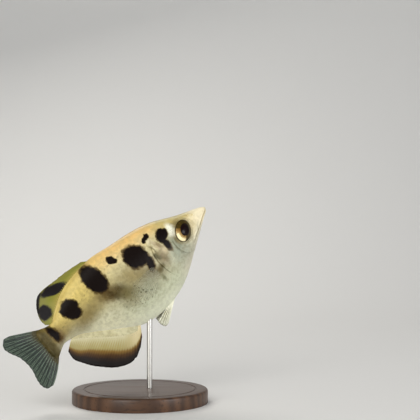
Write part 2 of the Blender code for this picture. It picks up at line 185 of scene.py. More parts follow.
@dataclass(frozen=True)
class EyeSeat:
    """Size and place of an eyeball, as shares of the fish's length."""

    station: float = 0.179
    height: float = -0.002
    side: float = 0.058
    radius: float = 0.055
    depth: float = 0.021
    forward: float = math.radians(20)
    upward: float = math.radians(-5)
    oval: float = 0.885
    turn: float = math.radians(-68)
    rim: float = 1.5
    level: float = 0.05
    cup: float = 0.42

    def axis(self, fish: FishFrame, hand: Side) -> Vector:
        """The way the eye looks.

        Args:
            fish: where the fish lies.
            hand: the eye's side.

        Returns:
            The direction in the model, one unit long.
        """
        ahead, left, up = fish.axes
        sight = (ahead * math.sin(self.forward) + up * math.sin(self.upward)
                 + left * hand.value * math.cos(self.forward))
        return sight.normalized()

    def middle(self, fish: FishFrame, hand: Side) -> Vector:
        """The eyeball's middle, in the model."""
        return fish.place(self.station, hand.value * self.side, self.height)

    def plane(self, fish: FishFrame, hand: Side) -> tuple[Vector, Vector]:
        """The eye's axes across the way it looks.

        Args:
            fish: where the fish lies.
            hand: the eye's side.

        Returns:
            The narrow axis and the long one.
        """
        axis = self.axis(fish, hand)
        ahead = (fish.axes[0] - axis * fish.axes[0].dot(axis)).normalized()
        up = axis.cross(ahead) * -hand.value
        narrow = ahead * math.cos(self.turn) + up * math.sin(self.turn)
        return narrow, up * math.cos(self.turn) - ahead * math.sin(self.turn)


@dataclass(frozen=True)
class BodyForm:
    """The shape of the fish's body, and of the bones and lips of its head."""

    fish: FishFrame = field(default_factory=FishFrame)
    eye: EyeSeat = field(default_factory=EyeSeat)
    back: Profile = Profile(
        (0.0, 0.006), (0.03, 0.019), (0.10, 0.044), (0.16, 0.067), (0.20, 0.087),
        (0.26, 0.1135), (0.32, 0.132), (0.40, 0.1475), (0.48, 0.157), (0.62, 0.174),
        (0.70, 0.163), (0.80, 0.133), (0.88, 0.090), (0.93, 0.0615), (0.96, 0.0645),
        (1.0, 0.080))
    belly: Profile = Profile(
        (0.0, -0.008), (0.03, -0.0295), (0.10, -0.080), (0.18, -0.1345), (0.24, -0.178),
        (0.28, -0.203), (0.33, -0.227), (0.38, -0.2425), (0.44, -0.2535), (0.50, -0.2565),
        (0.59, -0.240), (0.70, -0.179), (0.80, -0.110), (0.86, -0.073), (0.91, -0.058),
        (0.945, -0.0535), (0.97, -0.063), (1.0, -0.079))
    half_width: Profile = Profile(
        (0.0, 0.019), (0.015, 0.025), (0.05, 0.036), (0.10, 0.050), (0.17, 0.067),
        (0.26, 0.081), (0.36, 0.087), (0.48, 0.083), (0.60, 0.071), (0.72, 0.055),
        (0.84, 0.038), (0.93, 0.026), (1.0, 0.013), (1.03, 0.005))
    widest: Profile = Profile(
        (0.0, -0.001), (0.10, -0.009), (0.20, -0.014), (0.36, -0.008), (0.60, 0.018),
        (0.80, 0.018), (0.95, 0.006), (1.0, 0.003))
    back_keel: Profile = Profile(
        (0.0, 0.80), (0.08, 0.70), (0.20, 0.68), (0.36, 0.85), (0.55, 1.05),
        (0.68, 1.30), (0.85, 1.35), (1.0, 0.90))
    belly_keel: Profile = Profile(
        (0.0, 0.85), (0.10, 0.95), (0.25, 1.10), (0.45, 1.15), (0.60, 1.55),
        (0.70, 1.80), (0.86, 1.50), (1.0, 0.90))
    gill: Profile = Profile(
        (0.0, 0.285), (0.25, 0.322), (0.42, 0.365), (0.52, 0.374), (0.65, 0.355),
        (0.80, 0.300), (1.0, 0.228))
    mouth: Profile = Profile(
        (-0.04, 0.012), (0.0, -0.001), (0.05, -0.024), (0.10, -0.050), (0.14, -0.072),
        (0.165, -0.088))
    lateral: Profile = Profile(
        (0.36, 0.070), (0.44, 0.098), (0.54, 0.108), (0.66, 0.092), (0.80, 0.048),
        (0.92, 0.014), (1.03, 0.003))
    nose_round: float = 0.018
    coat: float = 0.0007
    gill_lip: float = 0.0055
    jaw_reach: float = 0.006
    lip_height: float = 0.0038
    lip_width: float = 0.0075
    mouth_depth: float = 0.0075
    mouth_slit: float = 0.0021
    head_end: float = 0.40
    jaw_run: float = 0.04
    cheek: Point = (0.150, -0.020)
    cheek_radius: float = 0.105
    cheek_step: float = 0.0060
    cheek_crease: float = 0.0012
    inner_radius: float = 0.082
    inner_ridge: float = 0.0018
    snout_plate: float = 0.0035
    nostrils: tuple[Point, ...] = ((0.088, 0.022), (0.108, 0.034))
    nostril_rim: float = 0.0022
    nostril_pit: float = 0.0085

    @cached_property
    def seats(self) -> list[tuple[Vector, Vector, Vector, Vector]]:
        """Each eye's middle, the way it looks, and its narrow and long axes."""
        return [(self.eye.middle(self.fish, hand), self.eye.axis(self.fish, hand),
                 *self.eye.plane(self.fish, hand)) for hand in Side]

    def down(self, turn: float) -> float:
        """Share of the way down from the back to the belly, 0 to 1, at a turn."""
        return min(turn % (2 * math.pi), -turn % (2 * math.pi)) / math.pi

    def gill_window(self, turn: float) -> float:
        """1 where the gill cover is free of the shoulder, 0 at the back and the throat."""
        share = self.down(turn)
        return ease(0.20, 0.34, share) * (1 - ease(0.56, 0.76, share))

    def plates(self, station: float, height: float) -> float:
        """How far the head's bones and lips stand out, as a share of the length.

        Args:
            station: place along the head.
            height: place up the head.

        Returns:
            The relief, below 0 in the mouth, the nostrils and the creases.
        """
        along, up = station - self.cheek[0], height - self.cheek[1]
        from_arc = math.hypot(along, up) - self.cheek_radius
        angle = math.degrees(math.atan2(up, along))
        on_arc = ease(-88, -62, angle) * (1 - ease(8, 38, angle))
        relief = self.cheek_step * on_arc * ease(-0.030, -0.001, from_arc)
        relief *= 1 - ease(0.0, 0.006, from_arc)
        relief -= self.cheek_crease * on_arc * bump(from_arc, 0.008, 0.004)
        inner = math.hypot(along - 0.004, up - 0.004) - self.inner_radius
        relief += self.inner_ridge * on_arc * bump(inner, 0.0, 0.004)
        above = height - self.mouth(station)
        fade = (1 - ease(0.150, 0.176, station)) * ease(-0.01, 0.02, station)
        lips = bump(above, self.lip_width, 0.0055) + 0.8 * bump(above, -self.lip_width, 0.0050)
        relief += self.lip_height * lips * fade
        relief -= self.mouth_depth * bump(above, 0.0, self.mouth_slit) * fade
        plate = ease(0.012, 0.016, above) * (1 - ease(0.024, 0.036, above))
        relief += (self.snout_plate * plate * ease(0.05, 0.13, station)
                   * (1 - ease(0.166, 0.176, station)))
        for spot in self.nostrils:
            far = math.hypot(station - spot[0], (height - spot[1]) * 1.2)
            relief += (self.nostril_rim * bump(far, 0.0068, 0.0026)
                       - self.nostril_pit * bump(far, 0.0, 0.0042))
        return relief

    def surface(self, station: float, turn: float, covered: bool = False) -> Vector:
        """A place on the body's surface, in fish coordinates.

        Args:
            station: place along the body.
            turn: 0 on the back, a quarter turn on the right side, half a turn at the belly.
            covered: whether this is the shoulder, under the gill cover's free edge.

        Returns:
            Station, side and height.
        """
        top, foot = self.back(station) - self.coat, self.belly(station) + self.coat
        middle, half = self.widest(station), self.half_width(station) - self.coat
        if station < self.nose_round:
            rounding = math.sqrt(max(0.0, 1 - (1 - station / self.nose_round) ** 2))
            top = middle + (top - middle) * rounding
            foot = middle + (foot - middle) * rounding
            half *= rounding
        rise, out = math.cos(turn), abs(math.sin(turn))
        keel = self.back_keel(station) if rise > 0 else self.belly_keel(station)
        height = middle + (top - middle if rise > 0 else middle - foot) * rise
        side = half * out ** keel
        if not covered and station < self.head_end:
            lip = self.gill_lip * self.gill_window(turn)
            lip *= ease(0.80, 0.97, station / self.gill(self.down(turn)))
            side += (self.plates(station, height) + lip) * ease(0.0, 0.25, out)
            below = ease(0.0, 0.012, self.mouth(station) - height)
            forward = self.jaw_reach * below * math.exp(-station / self.jaw_run)
            station -= forward * ease(0, 0.01, station)
        return Vector((station, -math.copysign(side, math.sin(turn)), height))

    def point(self, station: float, turn: float, covered: bool = False) -> Vector:
        """The model point of a place on the surface."""
        return self.fish.place(*self.surface(station, turn, covered))

    def seated(self, point: Vector) -> Vector:
        """A skin point moved to seat the eyes: a level rim round each, and a cup under it.

        Args:
            point: a point of the skin, in metres.

        Returns:
            The moved point.
        """
        radius = self.eye.radius * self.fish.length
        for middle, axis, narrow, long in self.seats:
            way = point - middle
            depth = way.dot(axis)
            if abs(depth) > 0.8 * radius:
                continue
            reach = math.hypot(way.dot(narrow) / self.eye.oval, way.dot(long)) / radius
            if reach < self.eye.rim:
                level = self.eye.level * radius
                seat = 0.9 * (1 - ease(1.02, self.eye.rim, reach))
                moved = depth + (level - depth) * seat
                moved += radius * (0.055 * bump(reach, 1.09, 0.06) - 0.05 * bump(reach, 1.2, 0.05))
                moved -= self.eye.cup * radius * (1 - ease(0.88, 1.0, reach))
                point = point + axis * (moved - depth)
        return point


class Link:
    """A node's output, with Python's operators for the maths of numbers."""

    def __init__(self, shade: Shade, socket: bpy.types.NodeSocket) -> None:
        """Wraps a socket of a material's nodes."""
        self.shade = shade
        self.socket = socket

    def __add__(self, other: Link | float) -> Link:
        """self + other."""
        return self.shade.maths("ADD", self, other)

    __radd__ = __add__

    def __sub__(self, other: Link | float) -> Link:
        """self - other."""
        return self.shade.maths("SUBTRACT", self, other)

    def __rsub__(self, other: Link | float) -> Link:
        """other - self."""
        return self.shade.maths("SUBTRACT", other, self)

    def __mul__(self, other: Link | float) -> Link:
        """self * other."""
        return self.shade.maths("MULTIPLY", self, other)

    __rmul__ = __mul__

    def __pow__(self, other: Link | float) -> Link:
        """self ** other."""
        return self.shade.maths("POWER", self, other)

    def __abs__(self) -> Link:
        """The size of self, without its sign."""
        return self.shade.maths("ABSOLUTE", self, 0.0)

    def __or__(self, other: Link | float) -> Link:
        """The larger of self and other, which joins two masks."""
        return self.shade.maths("MAXIMUM", self, other)

    def step(self, low: float, high: float) -> Link:
        """A smooth step from 0 at low to 1 at high.

        Args:
            low: where the step starts.
            high: where it ends. It may be lower than low, for a step down.

        Returns:
            The mask.
        """
        turned = high < low
        ends = (high, low) if turned else (low, high)
        mask = self.shade.node(
            "ShaderNodeMapRange", {"interpolation_type": "SMOOTHSTEP"},
            {"Value": self, "From Min": ends[0], "From Max": ends[1]})
        return 1 - mask if turned else mask


Input = Link | float | tuple


class Shade:
    """One material and its nodes."""

    def __init__(self, name: str) -> None:
        """Starts a material with a Principled shader.

        Args:
            name: the material's name.
        """
        self.material = bpy.data.materials.new(name)
        self.material.use_nodes = True
        self.tree = self.material.node_tree
        self.shader = self.tree.nodes["Principled BSDF"]

    @staticmethod
    def find(sockets: Iterable[bpy.types.NodeSocket], key: int | str) -> bpy.types.NodeSocket:
        """Looks up a socket.

        Args:
            sockets: a node's inputs or outputs.
            key: the socket's number, identifier or name.

        Returns:
            The socket.
        """
        if isinstance(key, int):
            return sockets[key]
        named = [s for s in sockets if s.identifier == key] + [s for s in sockets if s.name == key]
        return named[0]

    def feed(self, socket: bpy.types.NodeSocket, value: Input) -> None:
        """Links a socket or sets its value.

        Args:
            socket: an input.
            value: a link, a number, or the numbers of a vector or colour.
        """
        if isinstance(value, Link):
            self.tree.links.new(value.socket, socket)
        else:
            socket.default_value = value

    def node(self, kind: str, settings: dict | None = None,
             inputs: dict[int | str, Input] | None = None, output: int | str = 0) -> Link:
        """Makes a node.

        Args:
            kind: the node's type.
            settings: its properties, set first. stops sets a ramp's places and colours.
            inputs: values or links of its sockets.
            output: the output to use.

        Returns:
            The output.
        """
        made = self.tree.nodes.new(kind)
        for key, value in (settings or {}).items():
            if key == "stops":
                for old in list(made.color_ramp.elements)[1:]:
                    made.color_ramp.elements.remove(old)
                for number, (place, colour) in enumerate(value):
                    stop = (made.color_ramp.elements.new(place) if number
                            else made.color_ramp.elements[0])
                    stop.position, stop.color = place, (*colour, 1.0)
            else:
                setattr(made, key, value)
        for key, value in (inputs or {}).items():
            self.feed(self.find(made.inputs, key), value)
        return Link(self, self.find(made.outputs, output))

    def maths(self, operation: str, first: Link | float, second: Link | float = 0.0) -> Link:
        """The result of a Math node."""
        return self.node("ShaderNodeMath", {"operation": operation}, {0: first, 1: second})

    def attribute(self, name: str, output: str = "Vector") -> Link:
        """A vertex attribute of the piece."""
        return self.node("ShaderNodeAttribute", {"attribute_name": name}, output=output)

    def parts(self, vector: Link) -> tuple[Link, Link, Link]:
        """Splits a vector.

        Args:
            vector: the vector.

        Returns:
            Its three numbers.
        """
        first = self.node("ShaderNodeSeparateXYZ", {}, {0: vector})
        outputs = first.socket.node.outputs
        return first, Link(self, outputs[1]), Link(self, outputs[2])

    def noise(self, place: Link, scale: float, detail: float = 2.0,
              roughness: float = 0.5, output: str = "Fac") -> Link:
        """A noise texture of this scale."""
        return self.node("ShaderNodeTexNoise", {},
                         {"Vector": place, "Scale": scale, "Detail": detail,
                          "Roughness": roughness}, output)

    def cells(self, place: Link, scale: float) -> Link:
        """The distance to the nearest of many scattered points."""
        return self.node("ShaderNodeTexVoronoi", {}, {"Vector": place, "Scale": scale})

    def stretched(self, *scale: float) -> Link:
        """Object coordinates, scaled along each axis."""
        place = self.node("ShaderNodeTexCoord", {}, {}, "Object")
        return self.node("ShaderNodeMapping", {}, {"Vector": place, "Scale": scale})

    def mix(self, factor: Input, first: Input, second: Input, blend: str = "MIX") -> Link:
        """Mixes two colours.

        Args:
            factor: share of the second, 0 to 1.
            first: a link or three numbers.
            second: a link or three numbers.
            blend: how they are blended.

        Returns:
            The mix.
        """
        ends = [c if isinstance(c, Link) else (*c, 1.0) for c in (first, second)]
        return self.node("ShaderNodeMix", {"data_type": "RGBA", "blend_type": blend},
                         {"Factor_Float": factor, "A_Color": ends[0], "B_Color": ends[1]},
                         "Result_Color")

    def ramp(self, value: Link, *stops: tuple[float, Colour]) -> Link:
        """A colour ramp."""
        return self.node("ShaderNodeValToRGB", {"stops": stops}, {0: value}, "Color")

    def vector_math(self, operation: str, *inputs: Input, output: int | str = 0) -> Link:
        """A Vector Math node."""
        return self.node("ShaderNodeVectorMath", {"operation": operation},
                         dict(enumerate(inputs)), output)

    def length(self, vector: Link) -> Link:
        """The length of a vector."""
        return self.vector_math("LENGTH", vector, output="Value")

    def bumps(self, *layers: tuple[Link, float, float]) -> Link:
        """Makes Bump nodes in a chain.

        Args:
            layers: each node's height, strength and distance in metres.

        Returns:
            The normal.
        """
        normal: Link | None = None
        for height, strength, distance in layers:
            inputs = {"Height": height, "Strength": strength, "Distance": distance}
            if normal:
                inputs["Normal"] = normal
            normal = self.node("ShaderNodeBump", {}, inputs)
        return normal

    def done(self, **surface: Input) -> bpy.types.Material:
        """Feeds the shader.

        Args:
            surface: values of its inputs, where a keyword's _ stands for a space.

        Returns:
            The material.
        """
        for key, value in surface.items():
            if isinstance(value, tuple):
                value = (*value, 1.0)
            self.feed(self.shader.inputs[key.replace("_", " ")], value)
        return self.material


BLACK: Colour = (0.004, 0.002, 0.002)
BROWN: Colour = (0.085, 0.050, 0.012)
OLIVE: Colour = (0.100, 0.085, 0.035)


@dataclass(frozen=True)
class Blotch:
    """A soft-edged ellipse of colour in fish coordinates, for the pattern and for painted light and
    shade.
    """

    station: float
    height: float
    along: float
    across: float
    lean: float = 0.0
    soft: float = 0.21
    colour: Colour = BLACK
    strength: float = 1.0

    def mask(self, shade: Shade, plane: Link) -> Link:
        """The patch as a mask.

        Args:
            shade: the material.
            plane: station and height, as a vector.

        Returns:
            1 in the patch and 0 outside it.
        """
        turned = shade.node(
            "ShaderNodeMapping", {"vector_type": "TEXTURE"},
            {"Vector": plane, "Location": (self.station, self.height, 0.0),
             "Rotation": (0.0, 0.0, math.radians(self.lean)),
             "Scale": (self.along, self.across, 1.0)})
        return shade.length(turned).step(1 + self.soft, 1 - self.soft)

    @staticmethod
    def joined(shade: Shade, plane: Link, patches: Iterable[Blotch]) -> Link:
        """Joins several patches.

        Args:
            shade: the material.
            plane: station and height, as a vector.
            patches: the patches.

        Returns:
            One mask of them all.
        """
        whole, *others = [patch.mask(shade, plane) for patch in patches]
        for mask in others:
            whole = whole | mask
        return whole

    @staticmethod
    def plane(shade: Shade, fish: Link, fray: float, scale: float = 26.0) -> Link:
        """Station and height, pushed about a little so that edges turn ragged.

        Args:
            shade: the material.
            fish: fish coordinates.
            fray: how far they are pushed.
            scale: scale of the noise.

        Returns:
            The vector.
        """
        station, _, height = shade.parts(fish)
        push = shade.vector_math("SUBTRACT", shade.noise(fish, scale, 3.0, 0.6, "Color"),
                                 (0.5, 0.5, 0.5))
        level = shade.node("ShaderNodeCombineXYZ", {}, {0: station, 1: height})
        return shade.vector_math("MULTIPLY_ADD", push, (fray, fray, 0.0), level)


@dataclass(frozen=True)
class SkinFinish:
    """Wet skin: gold on the back, silver-white below, with black blotches."""

    black: tuple[Blotch, ...] = (
        Blotch(0.280, 0.054, 0.034, 0.027, -37, 0.25), Blotch(0.287, 0.010, 0.017, 0.044, -8, 0.5),
        Blotch(0.340, 0.096, 0.0135, 0.0125, 0, 0.3), Blotch(0.352, 0.090, 0.013, 0.011, -25, 0.3),
        Blotch(0.364, 0.084, 0.0125, 0.0125, 0, 0.3),
        Blotch(0.442, 0.056, 0.063, 0.053, 47), Blotch(0.408, -0.012, 0.022, 0.040, 14, 0.45),
        Blotch(0.541, 0.115, 0.017, 0.024, -36, 0.25), Blotch(0.659, 0.094, 0.048, 0.075, -6),
        Blotch(0.828, 0.062, 0.045, 0.042, -10), Blotch(0.824, 0.034, 0.038, 0.030, 25, 0.25),
        Blotch(0.960, 0.021, 0.019, 0.049, -8, 0.5))
    # Tinted patches: most are the skin's own colours, a few are painted highlights and painted
    # shade.
    shades: tuple[Blotch, ...] = (
        Blotch(0.050, 0.002, 0.058, 0.046, 0, 0.6, (0.86, 0.77, 0.54), 0.95),
        Blotch(0.128, 0.004, 0.036, 0.030, 0, 0.8, (0.76, 0.66, 0.42), 0.8),
        Blotch(0.245, -0.070, 0.062, 0.052, 0, 0.9, (0.31, 0.345, 0.275), 0.8),
        Blotch(0.260, -0.020, 0.032, 0.060, 18, 0.7, (0.23, 0.25, 0.18), 0.95),
        # A brown ring round the eye, darkest behind it: partly the orbit rim's own colour, partly
        # painted shade of the rim.
        Blotch(0.179, 0.000, 0.066, 0.066, 0, 0.15, (0.30, 0.24, 0.11), 0.45),
        Blotch(0.206, 0.016, 0.040, 0.050, 0, 0.35, (0.13, 0.095, 0.030), 0.75),
        Blotch(0.230, 0.047, 0.018, 0.030, 20, 0.7, (0.92, 0.92, 0.77), 0.95),
        # The next seven patches lie on the gill cover: the pale ones are painted highlights on its
        # folds, the darker ones painted shade between them.
        Blotch(0.346, 0.062, 0.012, 0.032, -12, 0.6, (0.74, 0.68, 0.46), 0.9),
        Blotch(0.333, 0.034, 0.009, 0.034, -14, 0.6, (0.44, 0.36, 0.23), 0.85),
        Blotch(0.358, 0.030, 0.005, 0.028, -10, 0.5, OLIVE, 0.8),
        Blotch(0.321, 0.016, 0.007, 0.030, -14, 0.6, (0.22, 0.165, 0.085), 0.8),
        Blotch(0.338, -0.030, 0.030, 0.038, 10, 0.7, (0.145, 0.110, 0.056), 1.0),
        Blotch(0.311, -0.008, 0.015, 0.018, 0, 0.7, (0.40, 0.335, 0.20), 0.95),
        Blotch(0.363, -0.003, 0.014, 0.022, -20, 0.6, (0.050, 0.042, 0.012), 1.0),
        Blotch(0.383, -0.062, 0.024, 0.015, -35, 0.6, (0.045, 0.038, 0.014), 1.0),
        Blotch(0.392, -0.107, 0.009, 0.022, -5, 0.7, (0.15, 0.15, 0.075), 0.9),
        Blotch(0.470, -0.075, 0.050, 0.050, 0, 0.9, (0.28, 0.30, 0.20), 0.6),
        Blotch(0.440, -0.030, 0.070, 0.034, 42, 0.8, BROWN, 0.6),
        Blotch(0.520, -0.004, 0.062, 0.042, 40, 0.9, (0.26, 0.205, 0.080), 0.8),
        Blotch(0.655, 0.004, 0.050, 0.034, 32, 0.7, BROWN, 1.0),
        Blotch(0.604, -0.022, 0.068, 0.034, 44, 0.6, (0.042, 0.024, 0.004), 1.0),
        Blotch(0.568, -0.070, 0.046, 0.050, 0, 0.9, (0.17, 0.15, 0.060), 0.75),
        Blotch(0.790, -0.020, 0.085, 0.040, -20, 0.9, (0.19, 0.14, 0.045), 0.85),
        Blotch(0.925, -0.006, 0.045, 0.040, 0, 0.9, (0.24, 0.175, 0.055), 0.85),
        Blotch(1.014, 0.000, 0.034, 0.100, 0, 0.6, (0.042, 0.031, 0.007), 1.0),
        Blotch(1.030, 0.042, 0.016, 0.026, 0, 0.5, (0.025, 0.020, 0.003), 1.0),
        Blotch(1.024, -0.046, 0.018, 0.026, 0, 0.5, (0.025, 0.020, 0.003), 1.0),
        Blotch(0.946, -0.010, 0.018, 0.034, 10, 0.8, (0.075, 0.036, 0.016), 0.95))
    tail_end: Colour = (0.13, 0.094, 0.028)
    cloud: Colour = (0.26, 0.20, 0.075)
    speck: Colour = (0.07, 0.06, 0.022)
    dash_rate: float = 300.0

    def tints(self, shade: Shade, station: Link, level: Link) -> Link:
        """The ground colour, from the back down to the belly.

        Args:
            shade: the material.
            station: place along the fish.
            level: share of the way down, a little uneven.

        Returns:
            The colour.
        """
        head = shade.ramp(
            level, (0.0, (0.52, 0.44, 0.17)), (0.20, (0.60, 0.49, 0.19)),
            (0.34, (0.55, 0.47, 0.21)), (0.50, (0.54, 0.48, 0.29)),
            (0.72, (0.62, 0.58, 0.43)), (1.0, (0.74, 0.70, 0.57)))
        nape = shade.ramp(
            level, (0.0, (0.68, 0.47, 0.18)), (0.14, (0.78, 0.52, 0.19)),
            (0.26, (0.67, 0.52, 0.25)), (0.36, (0.60, 0.54, 0.31)), (0.48, (0.42, 0.38, 0.22)),
            (0.60, (0.40, 0.39, 0.26)), (0.72, (0.53, 0.55, 0.39)), (1.0, (0.86, 0.87, 0.69)))
        rear = shade.ramp(
            level, (0.0, (0.46, 0.36, 0.11)), (0.16, (0.60, 0.47, 0.15)),
            (0.32, (0.61, 0.48, 0.155)), (0.46, (0.46, 0.37, 0.13)),
            (0.58, (0.39, 0.34, 0.165)), (0.70, (0.62, 0.60, 0.41)),
            (0.82, (0.78, 0.76, 0.53)), (1.0, (0.84, 0.83, 0.66)))
        colour = shade.mix(station.step(0.34, 0.22), nape, head)
        colour = shade.mix(station.step(0.52, 0.74), colour, rear)
        return shade.mix(station.step(0.93, 1.0) * 0.9, colour, self.tail_end)

    def colour(self, shade: Shade) -> tuple[Link, Link]:
        """The skin's colour.

        Args:
            shade: the material.

        Returns:
            The colour, and the mask of the black blotches.
        """
        fish = shade.attribute("fish")
        down, tone = shade.attribute("down", "Fac"), shade.attribute("tone", "Fac")
        station, _, _ = shade.parts(fish)
        patchy = shade.noise(fish, 9.0, 3.0) - 0.5
        colour = self.tints(shade, station, down + patchy * 0.14)
        plane = Blotch.plane(shade, fish, 0.030)
        speckled = 0.88 + shade.noise(fish, 46.0, 3.0, 0.65).step(0.38, 0.60) * 0.12
        for patch in self.shades:
            colour = shade.mix(patch.mask(shade, plane) * speckled * patch.strength, colour,
                               patch.colour)
        mottle = shade.noise(fish, 62.0, 3.0, 0.65)
        spread = down.step(0.06, 0.3) * (1 - down.step(0.70, 0.86) * 0.6) * station.step(0.04, 0.16)
        colour = shade.mix(mottle.step(0.60, 0.34) * spread * 0.27, colour, OLIVE)
        clouds = shade.noise(fish, 30.0, 3.0, 0.6)
        colour = shade.mix(clouds.step(0.58, 0.36) * down.step(0.85, 0.45) * 0.20, colour,
                           self.cloud)
        specks = shade.cells(fish, 74.0)
        lower = station.step(0.42, 0.50) * station.step(0.66, 0.58) * down.step(0.52, 0.58)
        lower = lower * down.step(0.76, 0.66) * mottle.step(0.62, 0.46)
        colour = shade.mix(specks.step(0.42, 0.16) * lower * 0.85, colour, self.speck)
        line = shade.attribute("line", "Fac")
        dashes = shade.maths("SINE", station * self.dash_rate)
        along = abs(line).step(0.0042, 0.0018) * dashes.step(-0.5, 0.3) * station.step(0.37, 0.40)
        colour = shade.mix(along * 0.35, colour, OLIVE)
        colour = shade.mix(1.0, colour, shade.ramp(tone, (0.0, (0.89,) * 3), (1.0, (1.0,) * 3)),
                           "MULTIPLY")
        black = Blotch.joined(shade, plane, self.black)
        colour = shade.mix(black.step(0.0, 0.5) * 0.8, colour, BROWN)
        black = black.step(0.25, 0.95)
        return shade.mix(black * 0.99, colour, BLACK), black

    def material(self, name: str, rough: float) -> bpy.types.Material:
        """Makes the material.

        Args:
            name: its name.
            rough: roughness of the surface, which is lower on the hard scales.

        Returns:
            The material.
        """
        shade = Shade(name)
        colour, black = self.colour(shade)
        fish, down = shade.attribute("fish"), shade.attribute("down", "Fac")
        grain = shade.noise(fish, 160.0, 3.0, 0.6)
        pores = shade.cells(fish, 95.0)
        normal = shade.bumps((pores.step(0.0, 0.5), 0.2, 0.00005), (grain, 0.3, 0.00004))
        silver = down.step(0.25, 0.5) * (1 - black) * 0.18
        return shade.done(Base_Color=colour, Roughness=grain * 0.18 + rough, Metallic=silver,
                          Specular_IOR_Level=0.06, Coat_Weight=(1 - black) * 0.12,
                          Coat_Roughness=0.18, Normal=normal)


# Half the size of a scale's patch on the unwrap, as a share of the unwrap.
PATCH = 0.0015


def multiply(form: bmesh.types.BMesh, count: int) -> bmesh.types.BMLayerItem:
    """Copies the whole of a bmesh until it holds this many of it.

    Args:
        form: a bmesh with one part.
        count: how many parts it ends with.

    Returns:
        The vertex layer with each part's number.
    """
    number = form.verts.layers.int.new("number")
    parts = 1
    while parts < count:
        more = min(parts, count - parts)
        geom = [v for v in form.verts if v[number] < more]
        geom += [e for e in form.edges if e.verts[0][number] < more]
        geom += [f for f in form.faces if f.verts[0][number] < more]
        for made in bmesh.ops.duplicate(form, geom=geom)["geom"]:
            if isinstance(made, bmesh.types.BMVert):
                made[number] += parts
        parts += more
    return number


def unwrap(form: bmesh.types.BMesh, places: list[Point]) -> None:
    """Lays a mesh out on the map that its colours are baked on.

    Args:
        form: the mesh.
        places: each vertex's place on the map.
    """
    form.verts.index_update()
    map_layer = form.loops.layers.uv.new("OFBake")
    for face in form.faces:
        for loop in face.loops:
            loop[map_layer].uv = places[loop.vert.index]


def linked(name: str, form: bmesh.types.BMesh, material: bpy.types.Material) -> bpy.types.Object:
    """Links a bmesh to the scene as a smooth-shaded object.

    Args:
        name: the object's name.
        form: its mesh, which is freed.
        material: its finish.

    Returns:
        The object.
    """
    mesh = bpy.data.meshes.new(name)
    form.to_mesh(mesh)
    form.free()
    mesh.shade_smooth()
    mesh.materials.append(material)
    made = bpy.data.objects.new(name, mesh)
    bpy.context.scene.collection.objects.link(made)
    return made


def add_piece(name: str, form: bmesh.types.BMesh, material: bpy.types.Material, slot: Slot,
              replaces: Iterable[str] = (), angle: float | None = None) -> bpy.types.Object:
    """Makes a bmesh one of the model's pieces, all of which ride on its root body.

    Args:
        name: the piece's name.
        form: its mesh, which is freed.
        material: its finish.
        slot: the record's material slot; not used.
        replaces: the solids that it stands for.
        angle: edges sharper than this many degrees are kept sharp.

    Returns:
        The piece.
    """
    piece = linked(name, form, material)
    if angle:
        piece.data.set_sharp_from_angle(angle=math.radians(angle))
    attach(piece, "root")
    if replaces:
        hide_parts(*replaces)
    LOG.info("%s: %d faces", name, len(piece.data.polygons))
    return piece


class Notes:
    """Vertex attributes of a bmesh that the materials read."""

    def __init__(self, form: bmesh.types.BMesh, body: BodyForm) -> None:
        """Adds the layers: fish coordinates, share down the side, tone and lateral line.

        Args:
            form: the mesh that gets them.
            body: the body, for the place of the lateral line.
        """
        self.body = body
        self.fish = form.verts.layers.float_vector.new("fish")
        self.down, self.tone, self.line = (
            form.verts.layers.float.new(name) for name in ("down", "tone", "line"))

    def write(self, vert: bmesh.types.BMVert, fish: Vector, down: float, tone: float) -> None:
        """Sets the attributes of one vertex.

        Args:
            vert: the vertex.
            fish: its fish coordinates.
            down: its share of the way down the side.
            tone: the tone of its scale, 0 to 1.
        """
        vert[self.fish] = fish
        vert[self.down], vert[self.tone] = down, tone
        vert[self.line] = fish.z - self.body.lateral(fish.x)


